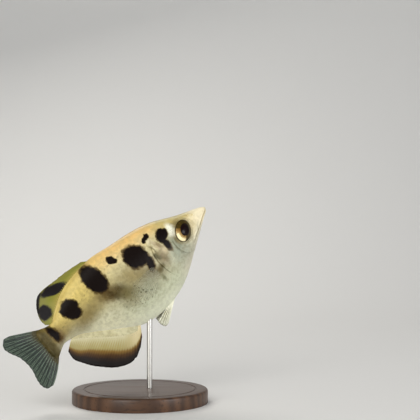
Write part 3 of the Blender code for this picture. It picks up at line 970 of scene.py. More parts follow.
@dataclass
class Skin:
    """One skin over the head, the lower jaw, the trunk and the tail."""

    body: BodyForm
    around: int = 240
    along: int = 400
    head_share: float = 0.56
    crowding: float = 1.15
    tail_end: float = 1.032
    tail_height: float = 0.003
    tuck: float = 0.012
    tuck_run: float = 0.010
    sink: float = 0.006
    sink_run: float = 0.020
    usual_half: float = 0.08
    close_from: float = 0.975
    close_run: float = 0.025
    pole: float = 0.0001
    map_margin: float = 0.01
    map_along: float = 0.98
    map_around: float = 0.97

    def lay(self, share: float, turn: float) -> tuple[Vector, Vector]:
        """Where a point of the skin lies.

        Args:
            share: share of the rings from the snout to the tail.
            turn: turn round the body.

        Returns:
            Its fish coordinates and its point in the model.
        """
        body = self.body
        gill = body.gill(body.down(turn))
        if share <= self.head_share:
            spot = body.surface(gill * (share / self.head_share) ** self.crowding, turn)
            return spot, body.seated(body.fish.place(*spot))
        past = (share - self.head_share) / (1 - self.head_share)
        free = body.gill_window(turn)
        station = gill + (self.tail_end - gill) * past
        station -= self.tuck * free * math.exp(-past / self.tuck_run)
        spot = body.surface(station, turn, covered=True)
        spot.y *= 1 - self.sink / self.usual_half * free * math.exp(-past / self.sink_run)
        close = max(0.0, (past - self.close_from) / self.close_run)
        if close:
            rounding = math.sqrt(max(0.0, 1 - close ** 2))
            spot.y *= rounding
            spot.z = self.tail_height + (spot.z - self.tail_height) * rounding
        return spot, body.fish.place(*spot)

    def on_map(self, share: float, turns: float) -> Point:
        """The place on the unwrap of a share of the rings and of the way round."""
        return self.map_margin + self.map_along * share, self.map_margin + self.map_around * turns

    def map_place(self, station: float, turn: float) -> Point:
        """Where a place of the skin lies on its unwrap.

        Args:
            station: place along the body.
            turn: turn round the body.

        Returns:
            The place on the map.
        """
        gill = self.body.gill(self.body.down(turn))
        if station < gill:
            share = self.head_share * (station / gill) ** (1 / self.crowding)
        else:
            past = (1 - self.head_share) * (station - gill) / (self.tail_end - gill)
            share = self.head_share + past
        return self.on_map(min(1.0, share), turn / (2 * math.pi) % 1.0)

    def build(self, material: bpy.types.Material) -> bpy.types.Object:
        """Makes the skin from a sphere whose poles become the snout and the tail.

        Args:
            material: its finish.

        Returns:
            The piece.
        """
        form = bmesh.new()
        bmesh.ops.create_uvsphere(form, u_segments=self.around, v_segments=self.along, radius=1.0)
        notes = Notes(form, self.body)
        map_layer = form.loops.layers.uv.new("OFBake")
        shares = []
        form.verts.index_update()
        for vert in form.verts:
            share = math.acos(max(-1.0, min(1.0, vert.co.z))) / math.pi
            turn = math.atan2(vert.co.y, vert.co.x) % (2 * math.pi)
            spot, point = self.lay(share, turn)
            shares.append((share, turn / (2 * math.pi)))
            notes.write(vert, spot, self.body.down(turn), 1.0)
            vert.co = point
        for face in form.faces:
            places = [shares[v.index] for v in face.verts]
            turns = [turn for share, turn in places if self.pole < share < 1 - self.pole]
            middle = sum(t + (t < 0.5 < max(turns) - min(turns)) for t in turns) / len(turns)
            for loop, (share, turn) in zip(face.loops, places):
                if not self.pole < share < 1 - self.pole:
                    turn = middle
                elif middle - turn > 0.5:
                    turn += 1.0
                loop[map_layer].uv = self.on_map(share, turn)
        bmesh.ops.recalc_face_normals(form, faces=form.faces)
        return add_piece("skin", form, material, Slot.SKIN,
                         ("head", "lower_jaw", "trunk", "tail"))


@dataclass(frozen=True)
class ScaleSeat:
    """Where a scale grows: its place, its size, its upward direction and its patch of the map."""

    station: float
    turn: float
    length: float
    swing: float
    trunk: bool
    up: Vector
    middle: Vector
    tone: float
    patch: Point


@dataclass
class ScaleCoat:
    """Overlapping scales over the trunk, the nape and the gill covers."""

    body: BodyForm
    skin: Skin
    columns: int = 32
    crowding: float = 1.22
    first: float = 0.3
    last: float = 1.020
    head_columns: int = 8
    head_start: float = 0.55
    head_run: float = 0.375
    head_step: float = 0.054
    head_size: float = 0.74
    eye_gap: float = 1.55
    width: float = 0.0245
    shrink: float = 0.30
    spread: float = 0.62
    overlap: float = 1.5
    shift: float = 0.2
    size_change: float = 0.04
    place_change: float = 0.02
    lift: float = 0.00030
    root_sink: float = 0.0009
    thickness: float = 0.00014
    crown: float = 0.00012
    sides: int = 14
    rings: int = 4
    seed: int = 11

    def roots(self) -> Iterable[tuple[float, float, float, float]]:
        """Where the scales grow.

        Returns:
            For each scale its station, turn, length and width.
        """
        chance = random.Random(self.seed)
        for column in range(self.columns):
            past, after = (1 - max(0.0, 1 - (column + k) / self.columns) ** self.crowding
                           for k in (self.first, self.first + 1))
            yield from self.ring(past, after - past, True, column % 2, chance)
        for column in range(self.head_columns):
            past = self.head_start + self.head_run * column / (self.head_columns - 1)
            yield from self.ring(past, self.head_step, False, column % 2, chance)

    def ring(self, past: float, step: float, trunk: bool, odd: int,
             chance: random.Random) -> Iterable[tuple[float, float, float, float]]:
        """The scales of one column, at even distances from the back down both sides.

        Args:
            past: share of the way along the trunk, or along the head.
            step: the way to the next column.
            trunk: whether it is on the trunk, and not on the head.
            odd: 1 for every second column, which is shifted by half a scale.
            chance: source of the small differences between scales.

        Returns:
            The scales' roots, as in roots().
        """
        body, samples = self.body, 72
        rise, stations, arcs = [], [], [0.0]
        for k in range(samples + 1):
            turn = math.pi * k / samples
            gill = body.gill(turn / math.pi)
            reach = self.last - gill if trunk else gill
            stations.append(gill + reach * past if trunk else reach * past)
            rise.append(reach * step)
            here = body.point(stations[k], turn, trunk)
            if k:
                arcs.append(arcs[-1] + (here - before).length)
            before = here
        girth = arcs[-1] / body.fish.length
        width = self.width if trunk else self.width * self.head_size
        width *= 1 - self.shrink * past * trunk
        rows = max(4, round(girth / width))
        k = 0
        for row in range(rows + 1 - odd):
            goal = arcs[-1] * (row + 0.5 * odd) / rows
            while k < samples - 1 and arcs[k + 1] < goal:
                k += 1
            t = (goal - arcs[k]) / (arcs[k + 1] - arcs[k])
            turn = math.pi * (k + t) / samples
            station = stations[k] + (stations[k + 1] - stations[k]) * t
            if not trunk and not self.on_head(station, turn):
                continue
            for hand in (1, -1):
                if hand < 0 and not odd and row in (0, rows):
                    continue
                size = 1 + chance.uniform(-self.size_change, self.size_change)
                moved = chance.uniform(-self.place_change, self.place_change) * rise[k]
                yield station + moved, hand * turn, rise[k] * size, girth / rows * size

    def on_head(self, station: float, turn: float) -> bool:
        """Whether the head has a scale here: behind the eye, on the nape and the gill cover.

        Args:
            station: place along the head.
            turn: turn round the head.

        Returns:
            True where a scale grows.
        """
        spot = self.body.surface(station, turn)
        eye = self.body.eye
        from_eye = math.hypot(spot.x - eye.station, spot.z - eye.height)
        down = self.body.down(turn)
        behind = spot.x > 0.215 - 0.02 * down
        return from_eye > eye.radius * self.eye_gap and down < 0.72 and behind

    def build(self, material: bpy.types.Material) -> list[bpy.types.Object]:
        """Makes one joined mesh of scales for each side of the fish.

        Args:
            material: their finish.

        Returns:
            The pieces.
        """
        groups: dict[str, list[ScaleSeat]] = {"scales_right": [], "scales_left": []}
        chance = random.Random(self.seed + 1)
        for root in self.roots():
            name = "scales_right" if math.sin(root[1]) >= 0 else "scales_left"
            groups[name].append(self.seat(root, chance.uniform(0.35, 1.0)))
        return [self.plates(name, seats, material) for name, seats in groups.items()]

    def seat(self, root: tuple[float, float, float, float], tone: float) -> ScaleSeat:
        """Works out the frame that a scale grows in.

        Args:
            root: the scale's station, turn, length and width.
            tone: its tone, 0 to 1.

        Returns:
            Its seat.
        """
        station, turn, length, width = root
        body = self.body
        trunk = station >= body.gill(body.down(turn))
        here = body.point(station, turn, trunk)
        step, swing = 0.004, 0.04
        along = body.point(station + step, turn, trunk) - here
        across = body.point(station, turn + swing, trunk) - here
        up = across.cross(along).normalized()
        if up.dot(here - body.fish.place(station, 0, 0.0)) < 0:
            up = -up
        arc = across.length / swing / body.fish.length
        return ScaleSeat(station, turn, length, width / max(arc, 0.02), trunk, up,
                         body.surface(station, turn, trunk), tone,
                         self.skin.map_place(station, turn))

    def plates(self, name: str, seats: list[ScaleSeat],
               material: bpy.types.Material) -> bpy.types.Object:
        """Makes a joined mesh of scales: thin rounded plates, their roots sunk in the skin.

        Args:
            name: the piece's name.
            seats: where the scales grow.
            material: their finish.

        Returns:
            The piece.
        """
        form = bmesh.new()
        bmesh.ops.create_uvsphere(form, u_segments=self.sides, v_segments=self.rings, radius=1.0)
        number = multiply(form, len(seats))
        notes = Notes(form, self.body)
        body = self.body
        places = []
        for vert in form.verts:
            seat = seats[vert[number]]
            x, y, z = vert.co
            back = seat.station + seat.length * (x * self.overlap / 2 + self.shift)
            swing = seat.turn + y * seat.swing * self.spread * (1 - 0.10 * x)
            spot = body.surface(back, swing, seat.trunk)
            rise = -self.root_sink + (self.lift + self.root_sink) * ease(-1.0, 0.75, x)
            rise -= self.crown * y * y
            point = body.fish.place(*spot)
            if not seat.trunk:
                point = body.seated(point)
            vert.co = point + seat.up * body.fish.length * (rise + self.thickness * z)
            notes.write(vert, spot.lerp(seat.middle, 0.2), body.down(swing), seat.tone)
            places.append((seat.patch[0] + PATCH * x, seat.patch[1] + PATCH * y))
        unwrap(form, places)
        return add_piece(name, form, material, Slot.SKIN, angle=50)


@dataclass(frozen=True)
class EyeFinish:
    """Iris and pupil, painted by place on the eye."""

    gold: Colour = (0.56, 0.34, 0.075)
    cream: Colour = (0.98, 0.88, 0.54)
    brown: Colour = (0.19, 0.095, 0.014)
    olive: Colour = (0.040, 0.027, 0.003)
    pupil: Colour = (0.006, 0.001, 0.001)
    sliver: Colour = (0.60, 0.50, 0.30)

    def material(self) -> bpy.types.Material:
        """Makes the eyeball's material.

        Returns:
            The material.
        """
        shade = Shade("iris")
        place = shade.attribute("eye")
        ahead, up, _ = shade.parts(place)
        flat = shade.vector_math("MULTIPLY", place, (1.0, 1.0, 0.0))
        far = shade.length(flat)
        hole = shade.node("ShaderNodeMapping", {"vector_type": "TEXTURE"}, {
            "Vector": flat, "Location": (0.02, 0.07, 0.0), "Scale": (0.57, 0.57, 1.0)})
        from_hole = shade.length(hole)
        angle = shade.maths("ARCTAN2", up, ahead)
        spokes = shade.node("ShaderNodeCombineXYZ", {}, {0: angle, 1: far * 0.35})
        streak = shade.noise(spokes, 9.0, 4.0, 0.7)
        wave = (shade.noise(place, 2.6, 2.0) - 0.5) * 0.25

        def facing(degrees: float) -> Link:
            """How much a place on the iris lies towards this angle, up to 1."""
            way = (math.cos(math.radians(degrees)), math.sin(math.radians(degrees)), 0.0)
            return shade.vector_math("DOT_PRODUCT", flat, way, output="Value") * far ** -1.0 + wave

        gold = shade.mix(streak.step(0.35, 0.75), self.gold, self.cream)
        gold = shade.mix(streak.step(0.52, 0.34) * 0.6, gold, self.brown)
        gold = shade.mix(facing(123).step(0.80, 0.96) * 0.85, gold, self.brown)
        lit = facing(198).step(0.66, 0.88) * far.step(0.62, 0.80)
        gold = shade.mix(lit * 0.95, gold, self.cream)
        # Brown next to the pupil: a painted shadow along the pupil's edge.
        gold = shade.mix(from_hole.step(1.45, 1.05) * 0.85, gold, self.brown)
        dark = shade.mix(streak.step(0.40, 0.80) * 0.35, self.olive, self.brown)
        lit_side = facing(184).step(0.46, 0.62)
        colour = shade.mix(lit_side, dark, gold)
        colour = shade.mix(far.step(0.92, 0.98), colour, self.olive)
        sliver = facing(-26).step(0.88, 0.97) * far.step(0.86, 0.93)
        colour = shade.mix(sliver * 0.85, colour, self.sliver)
        colour = shade.mix(from_hole.step(1.05, 0.95), colour, self.pupil)
        normal = shade.bumps((streak, 0.2, 0.00008))
        return shade.done(Base_Color=colour, Roughness=0.32, Specular_IOR_Level=0.08,
                          Metallic=lit_side * from_hole.step(1.0, 1.15) * 0.15,
                          Coat_Weight=0.14, Coat_Roughness=0.08, Normal=normal)


@dataclass
class Eye:
    """An eyeball whose clear front is a smooth dome over its iris and pupil."""

    body: BodyForm
    hand: Side
    cornea_lift: float = 0.0005
    around: int = 96
    rings: int = 56

    def build(self, material: bpy.types.Material) -> bpy.types.Object:
        """Makes the eyeball, with its place on the eye as an attribute.

        Args:
            material: its finish.

        Returns:
            The piece.
        """
        body, seat = self.body, self.body.eye
        length = body.fish.length
        form = bmesh.new()
        bmesh.ops.create_uvsphere(form, u_segments=self.around, v_segments=self.rings, radius=1.0)
        layer = form.verts.layers.float_vector.new("eye")
        axis = seat.axis(body.fish, self.hand)
        narrow, long = seat.plane(body.fish, self.hand)
        middle = seat.middle(body.fish, self.hand)
        radius, depth = seat.radius * length, seat.depth * length
        turned = Matrix.Rotation(seat.turn, 3, "Z")
        for vert in form.verts:
            x, y, z = vert.co
            dome = self.cornea_lift * (1 - ease(0.25, 0.80, math.hypot(x, y))) if z > 0 else 0.0
            vert[layer] = turned @ vert.co
            across = (narrow * x * seat.oval + long * y) * radius
            vert.co = middle + across + axis * (depth * z + dome)
        bmesh.ops.recalc_face_normals(form, faces=form.faces)
        return add_piece(f"eyeball_{self.hand.word}", form, material, Slot.EYE,
                         (f"eye_{self.hand.word}",))


@dataclass(frozen=True)
class FinFinish:
    """Thin fin skin, with colours along its root, middle and edge, and paler rays."""

    name: str
    root: Colour
    middle: Colour
    edge: Colour
    ray: Colour
    alpha: float
    ray_share: float = 0.5
    base_colour: Colour = (0.55, 0.50, 0.30)
    base_reach: float = 0.0
    joints: float = 0.14
    ray_alpha: float = 0.30
    joint: Colour = (0.20, 0.16, 0.07)
    joint_rate: float = 190.0
    marks: Callable[[Shade, Link, Link], tuple[Link | Colour, Link]] | None = None

    def material(self, rays: bool = False) -> bpy.types.Material:
        """Makes the material of the membrane or of the rays.

        Args:
            rays: whether it is for the rays, which are paler and less clear.

        Returns:
            The material.
        """
        shade = Shade(f"{self.name}_{'rays' if rays else 'membrane'}")
        fish, fin = shade.attribute("fish"), shade.attribute("fin")
        _, reach, _ = shade.parts(fin)
        patchy = shade.noise(fish, 22.0, 3.0) - 0.5
        colour = shade.ramp(reach + patchy * 0.25, (0.05, self.root), (0.5, self.middle),
                            (0.95, self.edge))
        if rays:
            colour = shade.mix(self.ray_share, colour, self.ray)
            joints = shade.maths("SINE", reach * self.joint_rate)
            colour = shade.mix(joints.step(0.6, 1.0) * self.joints, colour, self.joint)
        alpha = min(1.0, self.alpha + self.ray_alpha) if rays else self.alpha
        clear = reach * (-0.10) + alpha
        if self.base_reach:
            base = (reach + patchy * 0.10).step(self.base_reach * 1.25, self.base_reach * 0.65)
            colour = shade.mix(base, colour, self.base_colour)
            clear = clear | base
        gloss: Link | float = 0.10
        if self.marks:
            dark, solid = self.marks(shade, fish, fin)
            colour = shade.mix(solid, colour, dark)
            clear = clear | solid * 0.98
            gloss = (1 - solid) * 0.10
        grain = shade.noise(fish, 240.0, 2.0)
        return shade.done(Base_Color=colour, Roughness=grain * 0.2 + 0.34,
                          Alpha=shade.node("ShaderNodeClamp", {}, {0: clear}),
                          Specular_IOR_Level=0.12, Coat_Weight=gloss, Coat_Roughness=0.15,
                          Normal=shade.bumps((grain, 0.3, 0.00004)))


@dataclass(frozen=True)
class Limb:
    """A spine or a length of a ray: its shares along the fin, its reaches and its radii."""

    shares: Point
    reaches: Point
    radii: Point


@dataclass
class Fin:
    """A fin: a thin scalloped membrane held by branching rays and, in front, by spines."""

    name: str
    body: BodyForm
    root: Callable[[float], Vector]
    edge: Path
    rays: int
    spines: int = 0
    notch: float = 0.06
    ray_radius: float = 0.00024
    spine_radius: float = 0.00036
    thickness: float = 0.00022
    wave: float = 0.0016
    bow: float = 0.0
    foot: float = -0.02
    spine_tip: float = 0.00006
    forks: tuple[float, ...] = (0.42, 0.72, 0.965)
    tapers: tuple[float, ...] = (0.66, 0.45, 0.26)
    spreads: tuple[float, ...] = (0.17, 0.085)
    sheath: tuple[float, float, float] | None = None
    sheath_rows: int = 4
    sheath_count: int = 26

    def spot(self, share: float, reach: float, side: float = 0.0) -> Vector:
        """A place on the fin, in fish coordinates.

        Args:
            share: share along the fin from its front ray to its last.
            reach: 0 at the root and 1 at the edge.
            side: shift across the sheet, as a share of the fish's length.

        Returns:
            Station, side and height.
        """
        spot = self.root(share).lerp(self.edge(share), reach)
        ripple = math.sin(share * (self.rays - 1) * 0.9) * self.wave * reach
        bulge = self.bow * share ** 4 * 4 * reach * (1 - reach)
        return spot + Vector((0.0, ripple + side, -bulge))

    def extent(self, share: float) -> float:
        """How far the membrane reaches: it falls back between the rays' tips.

        Args:
            share: share along the fin.

        Returns:
            The reach, at most 1.
        """
        place = share * (self.rays - 1)
        between = math.sin(math.pi * (place % 1.0))
        deep = self.notch * (1.8 if place < self.spines - 0.5 else 0.22)
        return 1 - deep * between

    def membrane(self, material: bpy.types.Material) -> bpy.types.Object:
        """Makes the membrane from a grid, given its thickness and a rounded rim.

        Args:
            material: its finish.

        Returns:
            The piece.
        """
        form = bmesh.new()
        bmesh.ops.create_grid(form, x_segments=(self.rays - 1) * 6, y_segments=22, size=0.5)
        fish, fin = (form.verts.layers.float_vector.new(name) for name in ("fish", "fin"))
        for vert in form.verts:
            share, reach = vert.co.x + 0.5, vert.co.y + 0.5
            spot = self.spot(share, reach * self.extent(share))
            vert[fish], vert[fin] = spot, (share, reach, 0.0)
            vert.co = self.body.fish.place(*spot)
        bmesh.ops.recalc_face_normals(form, faces=form.faces)
        bmesh.ops.solidify(form, geom=form.faces[:], thickness=self.thickness)
        return add_piece(f"{self.name}_membrane", form, material, Slot.FIN, (self.name,))

    def limbs(self) -> Iterable[Limb]:
        """The spines, and each ray's stem and branches.

        Returns:
            The limbs, each a tapered rod.
        """
        pitch = 1 / (self.rays - 1)
        for number in range(self.rays):
            share = number * pitch
            if number < self.spines:
                yield Limb((share, share), (self.foot, 0.995), (self.spine_radius, self.spine_tip))
                continue
            yield Limb((share, share), (self.foot, self.forks[0]),
                       (self.ray_radius, self.ray_radius * 0.75))
            tips = [share]
            for level, spread in enumerate(self.spreads):
                ends = self.forks[level:level + 2]
                thick = tuple(self.ray_radius * k for k in self.tapers[level:level + 2])
                grown = []
                for tip in tips:
                    for way in (-1, 1):
                        to = min(1.0, max(0.0, tip + way * pitch * spread))
                        yield Limb((tip, to), ends, thick)
                        grown.append(to)
                tips = grown

    def skeleton(self, material: bpy.types.Material) -> bpy.types.Object:
        """Makes the spines and the branching rays, as one joined mesh.

        Args:
            material: their finish.

        Returns:
            The piece.
        """
        form = bmesh.new()
        bmesh.ops.create_cone(form, cap_ends=True, segments=7, radius1=1.0, radius2=1.0,
                              depth=1.0)
        long_edges = [e for e in form.edges if abs(e.verts[0].co.z - e.verts[1].co.z) > 0.5]
        bmesh.ops.subdivide_edges(form, edges=long_edges, cuts=4, use_grid_fill=True)
        number = multiply(form, len(limbs := list(self.limbs())))
        fish, fin = (form.verts.layers.float_vector.new(name) for name in ("fish", "fin"))
        place = self.body.fish.place
        for vert in form.verts:
            limb = limbs[vert[number]]
            t = vert.co.z + 0.5
            share = limb.shares[0] + (limb.shares[1] - limb.shares[0]) * t ** 1.3
            reach = limb.reaches[0] + (limb.reaches[1] - limb.reaches[0]) * t
            radius = limb.radii[0] + (limb.radii[1] - limb.radii[0]) * t
            spot = self.spot(share, reach)
            here, ahead = place(*spot), place(*self.spot(share, reach + 0.01))
            aside = 0.01 if share < 0.98 else -0.01
            beside = place(*self.spot(share + aside, reach)) - here
            out = (ahead - here).cross(beside * math.copysign(1, aside)).normalized()
            across = out.cross((ahead - here).normalized())
            vert[fish], vert[fin] = spot, (share, reach, 0.0)
            vert.co = here + (across * vert.co.x + out * vert.co.y) * radius
        bmesh.ops.recalc_face_normals(form, faces=form.faces)
        return add_piece(f"{self.name}_rays", form, material, Slot.FIN)

    def sheath_scales(self, material: bpy.types.Material, down: float,
                      skin: Skin) -> bpy.types.Object:
        """Makes the rows of small scales that climb from the body over the fin's foot.

        Args:
            material: their finish.
            down: share of the way down the body's side that their colour is taken from.
            skin: the skin, on whose unwrap each scale has its patch.

        Returns:
            The piece.
        """
        start, end, rise = self.sheath
        turn = 0.0 if down < 0.5 else math.pi
        chance = random.Random(len(self.name))
        rows, count = self.sheath_rows, self.sheath_count
        seats = []
        for row in range(rows):
            for k in range(count + 1):
                along = min(end, start + (end - start) * (k + 0.5 * (row % 2)) / count)
                for hand in Side:
                    seats.append((along, rise * (row - 0.9) / 3.4, hand, (end - start) / count,
                                  chance.uniform(0.5, 1.0), row / (rows - 1)))
        form = bmesh.new()
        bmesh.ops.create_uvsphere(form, u_segments=12, v_segments=4, radius=1.0)
        number = multiply(form, len(seats))
        notes = Notes(form, self.body)
        places = []
        for vert in form.verts:
            along, foot, hand, width, tone, high = seats[vert[number]]
            x, y, z = vert.co
            share = min(1.0, max(0.0, along + 0.62 * width * y + 0.25 * width * x))
            out = 0.0052 * (1 - 0.62 * high) * ease(0.0, 0.1, share) + 0.0002 * x + 0.00016 * z
            spot = self.spot(share, foot + rise * 0.26 * (1 + x), hand.value * out)
            vert.co = self.body.fish.place(*spot)
            notes.write(vert, spot, down, tone)
            left, low = skin.map_place(self.root(along).x, turn)
            places.append((left + PATCH * y, low + PATCH * x))
        unwrap(form, places)
        bmesh.ops.recalc_face_normals(form, faces=form.faces)
        return add_piece(f"{self.name}_sheath", form, material, Slot.SKIN, angle=50)

    def build(self, finish: FinFinish, scales: bpy.types.Material | None = None,
              down: float = 1.0, skin: Skin | None = None) -> None:
        """Makes the membrane, the rays and, where the fin has one, the sheath of scales.

        Args:
            finish: the fin's finish.
            scales: the sheath's finish.
            down: share of the way down the body's side that the sheath's colour is taken from.
            skin: the skin, on whose unwrap the sheath's scales have their patches.
        """
        self.membrane(finish.material())
        self.skeleton(finish.material(rays=True))
        if self.sheath and scales and skin:
            self.sheath_scales(scales, down, skin)


class FinSet:
    """All the fins, each set on the body where its solid is."""

    def __init__(self, body: BodyForm, skin: Skin) -> None:
        """Keeps the body and the skin that the fins grow from."""
        self.body = body
        self.skin = skin

    def dorsal(self) -> Fin:
        """Shapes the fin on the back, with stout spines in front.

        Returns:
            The fin.
        """
        edge = Path((0.0, 0.650, 0, 0.189), (0.12, 0.735, 0, 0.199), (0.25, 0.808, 0.002, 0.2015),
                    (0.38, 0.869, 0.003, 0.2035), (0.50, 0.904, 0.004, 0.1965),
                    (0.63, 0.934, 0.004, 0.170), (0.76, 0.954, 0.003, 0.139),
                    (0.88, 0.964, 0.002, 0.105), (1.0, 0.960, 0, 0.073))

        def root(share: float) -> Vector:
            """The fin's foot, a little inside the back."""
            station = 0.622 + 0.310 * share
            return Vector((station, 0, self.body.back(station) - 0.006))

        return Fin("dorsal_fin", self.body, root, edge, rays=17, spines=5, notch=0.025,
                   sheath=(0.10, 0.97, 0.17))

    def anal(self) -> Fin:
        """Shapes the fin under the tail's root.

        Returns:
            The fin.
        """
        edge = Path((0.0, 0.634, 0, -0.281), (0.055, 0.666, 0, -0.312), (0.105, 0.704, 0, -0.336),
                    (0.175, 0.751, -0.002, -0.339), (0.26, 0.800, -0.003, -0.320),
                    (0.35, 0.838, -0.004, -0.294), (0.445, 0.870, -0.004, -0.262),
                    (0.565, 0.904, -0.003, -0.224), (0.705, 0.934, -0.002, -0.179),
                    (0.86, 0.955, 0, -0.138), (1.0, 0.953, 0, -0.094))

        def root(share: float) -> Vector:
            """The fin's foot, a little inside the belly."""
            station = 0.606 + 0.290 * share ** 1.2
            return Vector((station, 0, self.body.belly(station) + 0.006))

        return Fin("anal_fin", self.body, root, edge, rays=18, spines=3, notch=0.025,
                   sheath=(0.08, 0.97, 0.24))

    def caudal(self) -> Fin:
        """Shapes the tail fin.

        Returns:
            The fin.
        """
        edge = Path((0.0, 1.132, 0, 0.155), (0.06, 1.165, 0, 0.164), (0.14, 1.192, 0.003, 0.141),
                    (0.26, 1.187, 0.004, 0.102), (0.40, 1.163, 0, 0.052),
                    (0.50, 1.154, -0.004, 0.010), (0.60, 1.153, -0.003, -0.030),
                    (0.74, 1.164, 0.002, -0.080), (0.86, 1.161, 0.004, -0.120),
                    (0.94, 1.145, 0.002, -0.145), (1.0, 1.116, 0, -0.153))
        return Fin("caudal_fin", self.body, lambda share: Vector((1.002, 0, 0.077 - 0.152 * share)),
                   edge, rays=17, notch=0.05, ray_radius=0.00028, bow=0.010)

    def pectoral(self, hand: Side) -> Fin:
        """Shapes a fin behind the gill cover, held out to steady the fish.

        Args:
            hand: its side.

        Returns:
            The fin.
        """
        sign = hand.value
        edge = Path((0.0, 0.550, sign * 0.118, -0.026), (0.2, 0.598, sign * 0.140, -0.052),
                    (0.4, 0.606, sign * 0.146, -0.086), (0.6, 0.588, sign * 0.140, -0.117),
                    (0.8, 0.550, sign * 0.122, -0.140), (1.0, 0.498, sign * 0.112, -0.146))

        def root(share: float) -> Vector:
            """The fin's foot, in the shoulder."""
            return Vector((0.396, sign * 0.080, -0.032 - 0.044 * share))

        return Fin(f"pectoral_fin_{hand.word}", self.body, root, edge, rays=12, notch=0.05,
                   ray_radius=0.00016, thickness=0.00012)

    def pelvic(self, hand: Side) -> Fin:
        """Shapes a fin on the belly's edge. The left one is held closer to the belly.

        Args:
            hand: its side.

        Returns:
            The fin.
        """
        sign = hand.value
        tuck = 0.010 if hand is Side.LEFT else 0.0
        edge = Path(*((share, station - tuck, sign * out, height + 0.8 * tuck)
                      for share, station, out, height in (
                          (0.0, 0.4985, 0.018, -0.314), (0.25, 0.511, 0.020, -0.3155),
                          (0.5, 0.521, 0.022, -0.309), (0.75, 0.529, 0.022, -0.294),
                          (1.0, 0.533, 0.020, -0.273))))

        def root(share: float) -> Vector:
            """The fin's foot, in the belly."""
            station = 0.392 + 0.036 * share
            return Vector((station, sign * 0.012, self.body.belly(station) + 0.010))

        return Fin(f"pelvic_fin_{hand.word}", self.body, root, edge, rays=6, spines=1,
                   notch=0.08, ray_radius=0.00022)

    @staticmethod
    def dorsal_marks(shade: Shade, fish: Link, fin: Link) -> tuple[Link | Colour, Link]:
        """Paints the dorsal fin's two black blotches and the black margin that joins them.

        Args:
            shade: the material.
            fish: fish coordinates.
            fin: share along the fin and reach up it, as a vector.

        Returns:
            The marks' colour and their mask.
        """
        share, reach, _ = shade.parts(fin)
        mask = Blotch.joined(shade, Blotch.plane(shade, fish, 0.022), (
            Blotch(0.829, 0.172, 0.068, 0.025, 14, 0.2),
            Blotch(0.925, 0.117, 0.036, 0.036, -48, 0.2)))
        margin = reach.step(0.84, 0.93) * share.step(0.40, 0.48) * share.step(0.86, 0.76)
        return BLACK, mask | margin

    @staticmethod
    def anal_marks(shade: Shade, fish: Link, fin: Link) -> tuple[Link | Colour, Link]:
        """Paints the anal fin's pale front, its dark stripes and its brown and black margin.

        Args:
            shade: the material.
            fish: fish coordinates.
            fin: share along the fin and reach up it, as a vector.

        Returns:
            The marks' colour and their mask.
        """
        share, reach, _ = shade.parts(fin)
        patchy = shade.noise(fish, 26.0, 2.0) - 0.5
        stripes = shade.maths("COSINE", share * 213.6)
        past = share - 0.45
        inward = reach + patchy * 0.08 - past * past * 0.50 - stripes * 0.010
        colour = shade.ramp(inward, (0.50, (0.36, 0.27, 0.085)), (0.58, (0.19, 0.105, 0.018)),
                            (0.68, (0.062, 0.028, 0.005)), (0.79, (0.014, 0.006, 0.002)),
                            (0.88, (0.004, 0.002, 0.001)))
        between = stripes.step(0.3, -0.7) * reach.step(0.22, 0.40) * 0.7
        margin = inward.step(0.46, 0.60)
        front = share.step(0.34, 0.10) * 0.8
        colour = shade.mix(front * (1 - margin), colour, (0.68, 0.59, 0.36))
        return colour, margin | between | front

    def build(self, scales: bpy.types.Material) -> None:
        """Makes every fin.

        Args:
            scales: the finish of the scales over the fins' feet.
        """
        self.dorsal().build(
            FinFinish("dorsal", (0.31, 0.25, 0.045), (0.185, 0.185, 0.012), (0.18, 0.165, 0.024),
                      (0.33, 0.29, 0.08), alpha=0.93, ray_share=0.30, marks=self.dorsal_marks),
            scales, down=0.14, skin=self.skin)
        # The anal sheath takes its colour from higher up the side than where it sits. This darker
        # tint is painted shade that offsets the extra light its upright scales catch.
        self.anal().build(
            FinFinish("anal", (0.62, 0.58, 0.39), (0.35, 0.315, 0.13), (0.18, 0.14, 0.035),
                      (0.66, 0.58, 0.36), alpha=0.96, ray_share=0.40, marks=self.anal_marks),
            scales, down=0.63, skin=self.skin)
        self.caudal().build(
            FinFinish("caudal", (0.030, 0.026, 0.006), (0.016, 0.026, 0.020),
                      (0.020, 0.036, 0.024), (0.20, 0.26, 0.20), alpha=0.93, ray_share=0.60,
                      base_colour=(0.046, 0.036, 0.005), base_reach=0.24))
        pectoral = FinFinish("pectoral", (0.45, 0.43, 0.30), (0.42, 0.43, 0.33),
                             (0.42, 0.43, 0.34), (0.50, 0.50, 0.38), alpha=0.09,
                             ray_share=0.22, joints=0.0, ray_alpha=0.07)
        pelvic = FinFinish("pelvic", (0.66, 0.66, 0.50), (0.30, 0.28, 0.16),
                           (0.34, 0.34, 0.24), (0.92, 0.92, 0.76), alpha=0.80, ray_share=0.85)
        for hand in Side:
            self.pectoral(hand).build(pectoral)
            self.pelvic(hand).build(pelvic)


